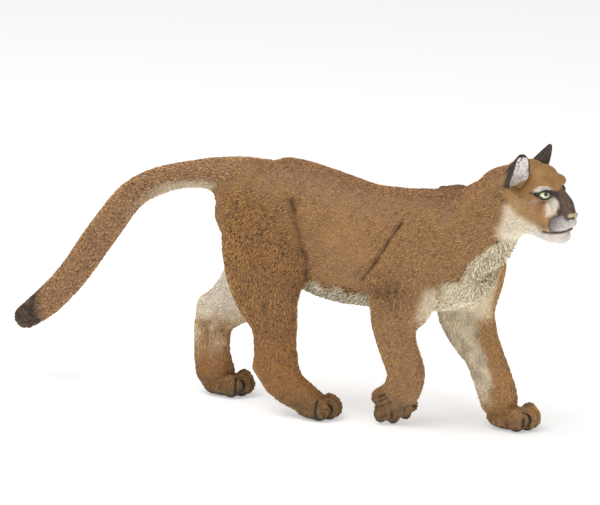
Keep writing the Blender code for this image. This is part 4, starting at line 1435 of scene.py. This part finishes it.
def coat_material(name, on_strokes):
    """Moulded plastic painted in tan, with dark wash in its hollows and a dry brush over its ridges."""
    nodes = PaintNodes(name)
    place = nodes.place()
    paint = nodes.mark("paint", "Color")
    relief = nodes.mark("relief")
    patches = nodes.noise(place, size=0.004, detail=3, rough=0.6)
    pits = nodes.noise(place, size=0.0006, detail=4, rough=0.65, distortion=0.8)
    grain = nodes.noise(place, size=0.00022, detail=2, rough=0.5)
    tone = nodes.mix(nodes.ramp(patches, 0.35, 0.65), THIN_TINT, THICK_TINT)
    colour = nodes.mix(1.0, paint, tone, "MULTIPLY")
    pitted = nodes.times(nodes.ramp(pits, 0.50, 0.41), relief)
    if on_strokes:
        rise = nodes.mark("rise")
        ridge = nodes.times(nodes.ramp(rise, 0.2, 0.75), nodes.ramp(nodes.mark("luck"), -0.2, 0.9))
        colour = nodes.mix(nodes.times(ridge, 0.8), colour, nodes.mix(1.0, paint, RIDGE_TINT, "MULTIPLY"))
        hollow = nodes.times(nodes.ramp(rise, 0.42, 0.02), nodes.math("ADD", relief, 0.1))
    else:
        hollow = nodes.times(relief, 0.6)
    hollow = nodes.math("MAXIMUM", hollow, pitted)
    share = nodes.math("MAXIMUM", nodes.mark("wash"), hollow, clamp=True)
    colour = nodes.mix(share, colour, nodes.mix(1.0, paint, HOLLOW_TINT, "MULTIPLY"))
    rough = nodes.math("ADD", nodes.times(patches, 0.2), 0.48)
    height = nodes.math("ADD", nodes.times(pits, relief), nodes.times(grain, 0.25))
    return nodes.finished(Base_Color=colour, Roughness=rough, Normal=nodes.bump(height, 0.7, 0.0002))


# The fur's strokes

def stroke_object():
    """One stroke of fur: a low closed ridge along +X, one unit long, wide and high, about its middle."""
    builder = bmesh.new()
    root = builder.verts.new((-0.5, 0, STROKE_SUNK))
    tip = builder.verts.new((0.5, 0, 0.15))
    rows = []
    for along, half, top in STROKE_STATIONS:
        rows.append([builder.verts.new((along - 0.5, -half, STROKE_SUNK)),
                     builder.verts.new((along - 0.5, half, STROKE_SUNK)),
                     builder.verts.new((along - 0.5, 0, top))])
    for k in range(3):
        builder.faces.new((root, rows[0][k], rows[0][k - 2]))
        builder.faces.new((tip, rows[-1][k - 2], rows[-1][k]))
        for low, high in zip(rows, rows[1:]):
            builder.faces.new((low[k], high[k], high[k - 2], low[k - 2]))
    bmesh.ops.triangulate(builder, faces=builder.faces)
    bmesh.ops.recalc_face_normals(builder, faces=builder.faces)
    made = object_from("stroke", builder)
    points = points_of(made.data)
    store(made.data, "rise", "FLOAT", np.clip(points[:, 2], 0, 1))
    store(made.data, "across", "FLOAT_VECTOR", points)
    return made


def stroke_tree(material):
    """A tree that sets strokes over a bed, along the coat's lie."""
    tree = bpy.data.node_groups.new("Fur strokes", "GeometryNodeTree")
    inputs = {"Bed": "Geometry", "Stroke": "Object", "Spacing": "Float", "Swing": "Float", "Seed": "Int"}
    for name, kind in inputs.items():
        tree.interface.new_socket(name, in_out="INPUT", socket_type=f"NodeSocket{kind}")
    tree.interface.new_socket("Coat", in_out="OUTPUT", socket_type="NodeSocketGeometry")
    nodes = Nodes(tree)
    given = nodes.add("NodeGroupInput").outputs
    most = nodes.math("DIVIDE", STROKE_TRIES, nodes.times(given["Spacing"], given["Spacing"]))
    spots = nodes.add("GeometryNodeDistributePointsOnFaces", {
        "Mesh": given["Bed"],
        "Seed": given["Seed"],
        "Distance Min": given["Spacing"],
        "Density Max": most,
        "Density Factor": nodes.field("cover"),
    }, distribute_method="POISSON")
    luck = nodes.add("FunctionNodeRandomValue", {"Seed": given["Seed"]}, data_type="FLOAT")
    marked = nodes.add("GeometryNodeStoreNamedAttribute", {
        "Geometry": spots.outputs["Points"],
        "Name": "luck",
        "Value": luck.outputs[1],
    }, data_type="FLOAT", domain="POINT")
    lay = nodes.field("lay", "FLOAT_VECTOR")
    facing = nodes.add("FunctionNodeAxesToRotation", {0: spots.outputs["Normal"], 1: lay},
                       primary_axis="Z", secondary_axis="X")
    least = nodes.times(given["Swing"], -1.0)
    swing = nodes.add("FunctionNodeRandomValue", {2: least, 3: given["Swing"], "Seed": 11},
                      data_type="FLOAT")
    swung = nodes.add("FunctionNodeAxisAngleToRotation", {"Axis": (0, 0, 1), "Angle": swing.outputs[1]})
    lift = nodes.times(nodes.field("lift"), -1.0)
    lifted = nodes.add("FunctionNodeAxisAngleToRotation", {"Axis": (0, 1, 0), "Angle": lift})
    rotation = facing.outputs[0]
    for turn in (swung, lifted):
        turned = nodes.add("FunctionNodeRotateRotation", {"Rotation": rotation, 1: turn.outputs[0]},
                           rotation_space="LOCAL")
        rotation = turned.outputs[0]
    smallest, largest = STROKE_SIZES
    vary = nodes.add("FunctionNodeRandomValue", {2: smallest, 3: largest, "Seed": 23}, data_type="FLOAT")
    size = nodes.vector("SCALE", nodes.field("stroke", "FLOAT_VECTOR"))
    nodes.give(size, "Scale", vary.outputs[1])
    source = nodes.add("GeometryNodeObjectInfo", {"Object": given["Stroke"]})
    copies = nodes.add("GeometryNodeInstanceOnPoints", {
        "Points": marked.outputs[0],
        "Instance": source.outputs["Geometry"],
        "Rotation": rotation,
        "Scale": size.outputs[0],
    })
    real = nodes.add("GeometryNodeRealizeInstances", {"Geometry": copies.outputs[0]})
    coated = nodes.add("GeometryNodeSetMaterial", {"Geometry": real.outputs[0], "Material": material})
    nodes.add("NodeGroupOutput", {"Coat": coated.outputs[0]})
    return tree


def bed_from(mesh, name, chosen, marks):
    """A piece of the skin with everything that its strokes need."""
    used, faces = np.unique(triangles_of(mesh)[chosen], return_inverse=True)
    bed = bpy.data.meshes.new(name)
    bed.from_pydata(points_of(mesh)[used], [], faces.reshape(-1, 3).tolist())
    for key in (*PAINT_MARKS, *STROKE_MARKS):
        store(bed, key, MARKS[key], marks[key][used])
    return linked(name, bed)


def bake_map(mesh):
    """Gives each stroke a patch of the map, by its root's place along its part of the body and about it."""
    across = read_all(mesh.attributes["across"].data, "vector", 3)
    spots = read_mark(mesh, "root") + across[:, :2] * STROKE_PATCH
    corner = read_all(mesh.loops, "vertex_index", 1, np.int32)
    layer = mesh.uv_layers.new(name="OFBake")
    layer.data.foreach_set("uv", np.clip(spots, 0, 1)[corner].ravel())


def cover_with_strokes(bed, tree, stroke, sizes, spacing):
    """The bed's strokes as one plain mesh in place of the bed."""
    modifier = bed.modifiers.new("Strokes", "NODES")
    modifier.node_group = tree
    spots = {item.name: item.identifier for item in tree.interface.items_tree if item.in_out == "INPUT"}
    modifier[spots["Stroke"]] = stroke
    modifier[spots["Spacing"]] = spacing
    modifier[spots["Swing"]] = sizes.stroke_swing
    modifier[spots["Seed"]] = sizes.stroke_seed
    mesh = evaluated_mesh(bed)
    bed.modifiers.clear()
    bed.data = mesh
    if not len(mesh.polygons):
        raise RuntimeError(f"{bed.name} got no strokes")
    bake_map(mesh)
    drop_marks(mesh, (*STROKE_MARKS, "across"))
    mesh.shade_smooth()


def beds(part, station):
    """Each coat piece's name, and which faces it grows from."""
    trunk = part == 0
    yield "coat_rump", trunk & (station < RUMP_END)
    yield "coat_flanks", trunk & (station >= RUMP_END) & (station < FLANKS_END)
    yield "coat_shoulders", trunk & (station >= FLANKS_END)
    for k, name in enumerate(PART_NAMES[1:], 1):
        yield f"coat_{name}", part == k


# The ears, eyes, nose and claws

def ear(side, steps=36):
    """A cupped ear with a rounded rim, whose marks tell the cup from the back and the place on either."""
    base, rise, facing, across = ear_axes(side)
    behind = on_side(EAR_BEHIND, side)
    builder = bmesh.new()
    cup_mark = builder.verts.layers.float.new("cup")
    spot_mark = builder.verts.layers.float_vector.new("spot")
    sheets = []
    for is_cup in (False, True):
        rows = []
        for v in np.linspace(0, EAR_TOP, steps + 1):
            width, sway = ear_outline(v)
            rim_height = EAR_RIM - (EAR_RIM - EAR_TIP_RIM) * v * v
            row = []
            for u in np.linspace(-1, 1, steps):
                arch = 1 - u * u
                point = base + rise * v + across * (u * width + sway)
                if is_cup:
                    point += facing * (rim_height - EAR_CUP_DEPTH * (1 - v) ** 0.7 * arch**0.6)
                else:
                    point += behind * arch * EAR_BACK_DEPTH * (1 - v) ** EAR_BACK_BOW
                vert = builder.verts.new(head_turn() @ point)
                vert[cup_mark] = float(is_cup)
                vert[spot_mark] = (u, v, 0)
                row.append(vert)
            rows.append(row)
        sheets.append(rows)
    faces = []
    edges = []
    for rows in sheets:
        for low, high in zip(rows, rows[1:]):
            for k in range(steps - 1):
                faces.append(builder.faces.new((low[k], low[k + 1], high[k + 1], high[k])))
        inner = rows[1:-1]
        edges.append(rows[0] + [row[-1] for row in inner] + rows[-1][::-1] + [row[0] for row in inner][::-1])
    for k in range(len(edges[0])):
        faces.append(builder.faces.new((edges[0][k], edges[1][k], edges[1][k - 1], edges[0][k - 1])))
    bmesh.ops.recalc_face_normals(builder, faces=faces)
    return object_from("ear_shell_left" if side == 1 else "ear_shell_right", builder)


def ear_material(paint):
    """White fur with pink and dark specks in the cup, tan at its foot, and black behind and on the rim."""
    nodes = PaintNodes("painted ear")
    place = nodes.place()
    parts = nodes.add("ShaderNodeSeparateXYZ", {"Vector": nodes.mark("spot", "Vector")})
    u, v = parts.outputs[0], parts.outputs[1]
    specks = nodes.noise(place, size=0.0006, detail=3, rough=0.7)
    fine = nodes.noise(place, size=0.0003, detail=2, rough=0.6)
    inside = nodes.mix(nodes.ramp(specks, 0.48, 0.36), paint.white, EAR_SPECKS)
    inside = nodes.mix(nodes.times(nodes.ramp(v, 0.55, 0.1), 0.5), inside, EAR_PINK)
    front = nodes.times(nodes.ramp(u, 0.80, 0.9), nodes.ramp(v, 0.3, 0.55))
    inside = nodes.mix(front, inside, EAR_FRONT_RIM)
    foot = nodes.math("SUBTRACT", u, nodes.times(v, 3.0))
    inside = nodes.mix(nodes.ramp(foot, 0.1, 0.4), inside, 0.8 * paint.tan)
    rear = nodes.times(nodes.ramp(u, -0.72, -0.82), nodes.ramp(v, 0.18, 0.4))
    inside = nodes.mix(nodes.math("MAXIMUM", rear, nodes.ramp(v, 0.87, 0.92)), inside, paint.black)
    back = nodes.mix(nodes.ramp(specks, 0.4, 0.65), paint.black, EAR_BACK_BROWN)
    bowl = nodes.math("SUBTRACT", 1.0, nodes.times(u, u))
    furred = nodes.times(nodes.ramp(bowl, 0.22, 0.48), nodes.ramp(v, 0.55, 0.2))
    back = nodes.mix(furred, back, 0.72 * paint.tan)
    colour = nodes.mix(nodes.ramp(nodes.mark("cup"), 0.4, 0.6), back, inside)
    bump = nodes.bump(nodes.math("ADD", specks, fine), 0.5, 0.0001)
    return nodes.finished(Base_Color=colour, Roughness=0.55, Normal=bump)


def eye_lens(side):
    """A shallow painted eye whose mark holds each point's place by the lids, in design millimetres."""
    middle, ahead, up, out = eye_axes(side)
    builder = bmesh.new()
    bmesh.ops.create_uvsphere(builder, u_segments=56, v_segments=36, radius=1)
    mark = builder.verts.layers.float_vector.new("spot")
    for vert in builder.verts:
        a, b, c = (vert.co[axis] * LENS_RADII[axis] for axis in range(3))
        vert[mark] = (a, b, c)
        vert.co = head_turn() @ (middle + ahead * a + up * b + out * (LENS_MIDDLE + c))
    bmesh.ops.recalc_face_normals(builder, faces=builder.faces)
    return object_from("eye_lens_left" if side == 1 else "eye_lens_right", builder)


def eye_material(paint):
    """Pale green with a black pupil and a painted white highlight, under clear lacquer."""
    nodes = PaintNodes("painted eye")
    spot = nodes.mark("spot", "Vector")

    def ring(middle, inner, outer, squash=1.0):
        """1 inside the inner radius about a middle, 0 past the outer one."""
        away = nodes.vector("SUBTRACT", spot, (*middle, 0)).outputs[0]
        scaled = nodes.vector("MULTIPLY", away, (1, squash, 0)).outputs[0]
        return nodes.ramp(nodes.vector("LENGTH", scaled).outputs["Value"], outer, inner)

    green = nodes.mix(ring((0.2, 0.0), 0.3, 1.3), 0.7 * paint.iris, paint.iris)
    # A painted highlight on the iris
    green = nodes.mix(ring((-0.25, -0.32), 0.05, 0.5), green, EYE_PAINTED_HIGHLIGHT)
    colour = nodes.mix(ring((0.46, 0.16), 0.44, 0.54), green, paint.black)
    colour = nodes.mix(ring((0.0, 0.0), 0.98, 1.3, 1.55), paint.black, colour)
    return nodes.finished(Base_Color=colour, Roughness=0.22, Coat_Weight=0.5, Coat_Roughness=0.08)


def nose_pad():
    """The nose pad, wider at the top, with a nostril pressed in on each side."""
    builder = bmesh.new()
    bmesh.ops.create_uvsphere(builder, u_segments=64, v_segments=48, radius=1)
    mark = builder.verts.layers.float_vector.new("spot")
    for vert in builder.verts:
        vert[mark] = vert.co
        x, y, z = vert.co
        side = abs(y)
        narrow = 1 - 0.42 * max(0, -z) ** 1.3
        away = math.hypot(side - 0.62, z + 0.12 + 0.35 * (side - 0.6))
        pit = math.exp(-((away / NOSTRIL_REACH) ** 2)) * (x > 0)
        slope = 1 - 0.3 * max(0, z) ** 1.5 - 0.15 * max(0, -z)
        ahead = x * NOSE_RADII.x * (1 - NOSTRIL_DEPTH * pit) * slope
        vert.co = head_turn() @ (NOSE_CENTRE + Vector((ahead, y * NOSE_RADII.y * narrow, z * NOSE_RADII.z)))
    bmesh.ops.recalc_face_normals(builder, faces=builder.faces)
    return object_from("nose_pad", builder)


def nose_material(paint):
    """Straw-coloured paint with black nostrils and edges."""
    nodes = PaintNodes("painted nose")
    place = nodes.place()
    parts = nodes.add("ShaderNodeSeparateXYZ", {"Vector": nodes.mark("spot", "Vector")})
    side = nodes.math("ABSOLUTE", parts.outputs[1])
    z = parts.outputs[2]
    grain = nodes.noise(place, size=0.0003, detail=3, rough=0.6)
    colour = nodes.mix(nodes.ramp(grain, 0.35, 0.65), 0.75 * paint.nose, paint.nose)
    low = nodes.math("ADD", z, nodes.times(side, 0.35))
    nostril = nodes.times(nodes.ramp(low, 0.22, 0.02), nodes.ramp(side, 0.34, 0.5))
    rim = nodes.math("MAXIMUM", nodes.ramp(z, -0.45, -0.7), nodes.ramp(z, 0.66, 0.8))
    colour = nodes.mix(nodes.math("MAXIMUM", nostril, rim), colour, paint.black)
    return nodes.finished(Base_Color=colour, Roughness=0.38, Normal=nodes.bump(grain, 0.3, 0.00008))


def claw_material(paint):
    nodes = PaintNodes("painted claw")
    wear = nodes.noise(nodes.place(), size=0.0004, detail=2, rough=0.6)
    colour = nodes.mix(nodes.ramp(wear, 0.45, 0.7), paint.black, CLAW_WEAR)
    return nodes.finished(Base_Color=colour, Roughness=0.35)


def add_claw(builder, root, ahead, length):
    """A short hooked claw, thick at its root."""
    across = Vector((-ahead.y, ahead.x, 0))
    turns = np.linspace(0, 2 * math.pi, CLAW_SIDES, endpoint=False)
    rings = []
    for t in np.linspace(0, 1, CLAW_RINGS):
        bend = t * CLAW_HOOK
        drop = length * (1 - math.cos(bend)) * CLAW_DROOP
        middle = root + ahead * length * math.sin(bend) - Vector((0, 0, drop))
        up = across.cross(ahead * math.cos(bend) - Vector((0, 0, math.sin(bend))))
        size = CLAW_HALF_THICKNESS * (1 - t) ** 0.6 + CLAW_TIP
        wide, high = across * size * CLAW_NARROWING, up * size
        ring = [middle + wide * math.cos(turn) + high * math.sin(turn) for turn in turns]
        rings.append([builder.verts.new(point) for point in ring])
    faces = [builder.faces.new(rings[0]), builder.faces.new(rings[-1][::-1])]
    for low, high in zip(rings, rings[1:]):
        faces += [builder.faces.new((low[k], high[k], high[k - 1], low[k - 1])) for k in range(CLAW_SIDES)]
    bmesh.ops.recalc_face_normals(builder, faces=faces)


# The studio

def add_camera(scene, lens, shift):
    camera = bpy.data.cameras.new("camera")
    camera.lens = lens
    camera.sensor_width = 36
    camera.clip_start = 0.05
    camera.clip_end = 20
    eye = linked("camera", camera)
    eye.location = (CAMERA_PLACE + shift) * MM
    eye.rotation_euler = (CAMERA_AIM - CAMERA_PLACE).to_track_quat("-Z", "Y").to_euler()
    scene.camera = eye


def add_light(name, place, aim, size, power):
    """A round soft light that faces its aim."""
    light = bpy.data.lights.new(name, "AREA")
    light.shape = "DISK"
    light.size = size
    light.energy = power
    made = linked(name, light)
    made.location = place
    made.rotation_euler = (Vector(aim) - Vector(place)).to_track_quat("-Z", "Y").to_euler()


def add_floor(glow):
    builder = bmesh.new()
    bmesh.ops.create_grid(builder, x_segments=1, y_segments=1, size=FLOOR_HALF_SIZE)
    floor = object_from("floor", builder)
    paint = PaintNodes("pale floor")
    floor.data.materials.append(paint.finished(
        Base_Color=(*FLOOR_GREY, 1), Roughness=0.9, Emission_Color=(1, 1, 1, 1), Emission_Strength=glow))


def light_room(scene, strength):
    world = bpy.data.worlds.new("room")
    world.use_nodes = True
    backdrop = world.node_tree.nodes["Background"]
    backdrop.inputs["Color"].default_value = (1, 1, 1, 1)
    backdrop.inputs["Strength"].default_value = strength
    scene.world = world


# Operators

class FIGURE_OT_skin(bpy.types.Operator):
    """Sculpt and paint the figure's one skin"""
    bl_idname = "figure.skin"
    bl_label = "Painted skin"

    def execute(self, context):
        sizes = context.scene.figure_sizes
        skin = whole_figure(sizes.skin_voxel / MM)
        sculpted(skin, sizes.coat_depth / MM)
        thinned(skin, sizes.skin_triangles)
        applied(skin, "TRIANGULATE")
        mark_skin(skin.data, paints_of(context))
        placed(skin, coat_material("painted coat", False))
        in_frame(skin, "coat", *FLESH)
        return {"FINISHED"}


class FIGURE_OT_fur(bpy.types.Operator):
    """Set the moulded strokes of fur over the skin"""
    bl_idname = "figure.fur"
    bl_label = "Moulded fur"

    def execute(self, context):
        sizes = context.scene.figure_sizes
        mesh = bpy.data.objects["coat_skin"].data
        marks = {name: read_mark(mesh, name) for name in MARKS}
        first = triangles_of(mesh)[:, 0]
        tree = stroke_tree(coat_material("painted fur", True))
        stroke = stroke_object()
        for name, chosen in beds(marks["part"][first], marks["station"][first]):
            bed = bed_from(mesh, name, chosen, marks)
            closer = HEAD_SPACING if name == "coat_head" else 1.0
            cover_with_strokes(bed, tree, stroke, sizes, sizes.stroke_spacing * closer)
            in_frame(bed, "coat")
        bpy.data.objects.remove(stroke)
        drop_marks(mesh, (*STROKE_MARKS, *BED_MARKS))
        return {"FINISHED"}


class FIGURE_OT_ears(bpy.types.Operator):
    """Make the two cupped ears"""
    bl_idname = "figure.ears"
    bl_label = "Ears"

    def execute(self, context):
        material = ear_material(paints_of(context))
        for side, node in ((1, "ear_left"), (-1, "ear_right")):
            in_frame(placed(ear(side), material), "black", node)
        return {"FINISHED"}


class FIGURE_OT_eyes(bpy.types.Operator):
    """Make the two painted eyes"""
    bl_idname = "figure.eyes"
    bl_label = "Eyes"

    def execute(self, context):
        material = eye_material(paints_of(context))
        for side, node in ((1, "eye_left"), (-1, "eye_right")):
            in_frame(placed(eye_lens(side), material), "eyes", node)
        return {"FINISHED"}


class FIGURE_OT_nose(bpy.types.Operator):
    """Make the nose pad with its nostrils"""
    bl_idname = "figure.nose"
    bl_label = "Nose pad"

    def execute(self, context):
        in_frame(placed(nose_pad(), nose_material(paints_of(context))), "nose", "nose")
        return {"FINISHED"}


class FIGURE_OT_claws(bpy.types.Operator):
    """Set a claw in the front of each toe"""
    bl_idname = "figure.claws"
    bl_label = "Claws"

    def execute(self, context):
        length = context.scene.figure_sizes.claw_length / MM
        builder = bmesh.new()
        for paw in FLAT_PAWS:
            for toe, turn in toes_of(*paw):
                ahead = way_at(turn)
                root = toe + ahead * (TOE_HALF_LENGTH - CLAW_INSET) - Vector((0, 0, paw[3] * CLAW_BELOW))
                add_claw(builder, root, ahead, length)
        in_frame(placed(object_from("claws", builder), claw_material(paints_of(context))), "black")
        return {"FINISHED"}


class FIGURE_OT_stage(bpy.types.Operator):
    """Set the pale floor, the soft lights and the camera"""
    bl_idname = "figure.stage"
    bl_label = "Studio"

    def execute(self, context):
        studio = context.scene.figure_studio
        add_camera(context.scene, studio.lens, figure_shift())
        add_floor(studio.floor_glow)
        add_light("key", *KEY_LIGHT, studio.key_power)
        add_light("fill", *FILL_LIGHT, studio.fill_power)
        light_room(context.scene, studio.room_light)
        context.scene.view_settings.view_transform = "Standard"
        return {"FINISHED"}


STEPS = ("skin", "fur", "ears", "eyes", "nose", "claws", "stage")


class FIGURE_PT_sidebar(bpy.types.Panel):
    bl_label = "Moulded cougar"
    bl_space_type = "VIEW_3D"
    bl_region_type = "UI"
    bl_category = "Figure"

    def draw(self, context):
        for step in STEPS:
            self.layout.operator(f"figure.{step}")
        for settings in (context.scene.figure_sizes, context.scene.figure_paint,
                         context.scene.figure_studio):
            for key in settings.bl_rna.properties.keys():
                if key not in ("rna_type", "name"):
                    self.layout.prop(settings, key)


CLASSES = (
    FigureSizes, FigurePaint, FigureStudio,
    FIGURE_OT_skin, FIGURE_OT_fur, FIGURE_OT_ears, FIGURE_OT_eyes, FIGURE_OT_nose, FIGURE_OT_claws,
    FIGURE_OT_stage, FIGURE_PT_sidebar,
)
SETTINGS = {"figure_sizes": FigureSizes, "figure_paint": FigurePaint, "figure_studio": FigureStudio}


def register():
    for item in CLASSES:
        bpy.utils.register_class(item)
    for name, kind in SETTINGS.items():
        setattr(bpy.types.Scene, name, bpy.props.PointerProperty(type=kind))


def unregister():
    for name in SETTINGS:
        delattr(bpy.types.Scene, name)
    for item in reversed(CLASSES):
        bpy.utils.unregister_class(item)


def main():
    register()
    for step in STEPS:
        getattr(bpy.ops.figure, step)()


if __name__ == "__main__":
    main()
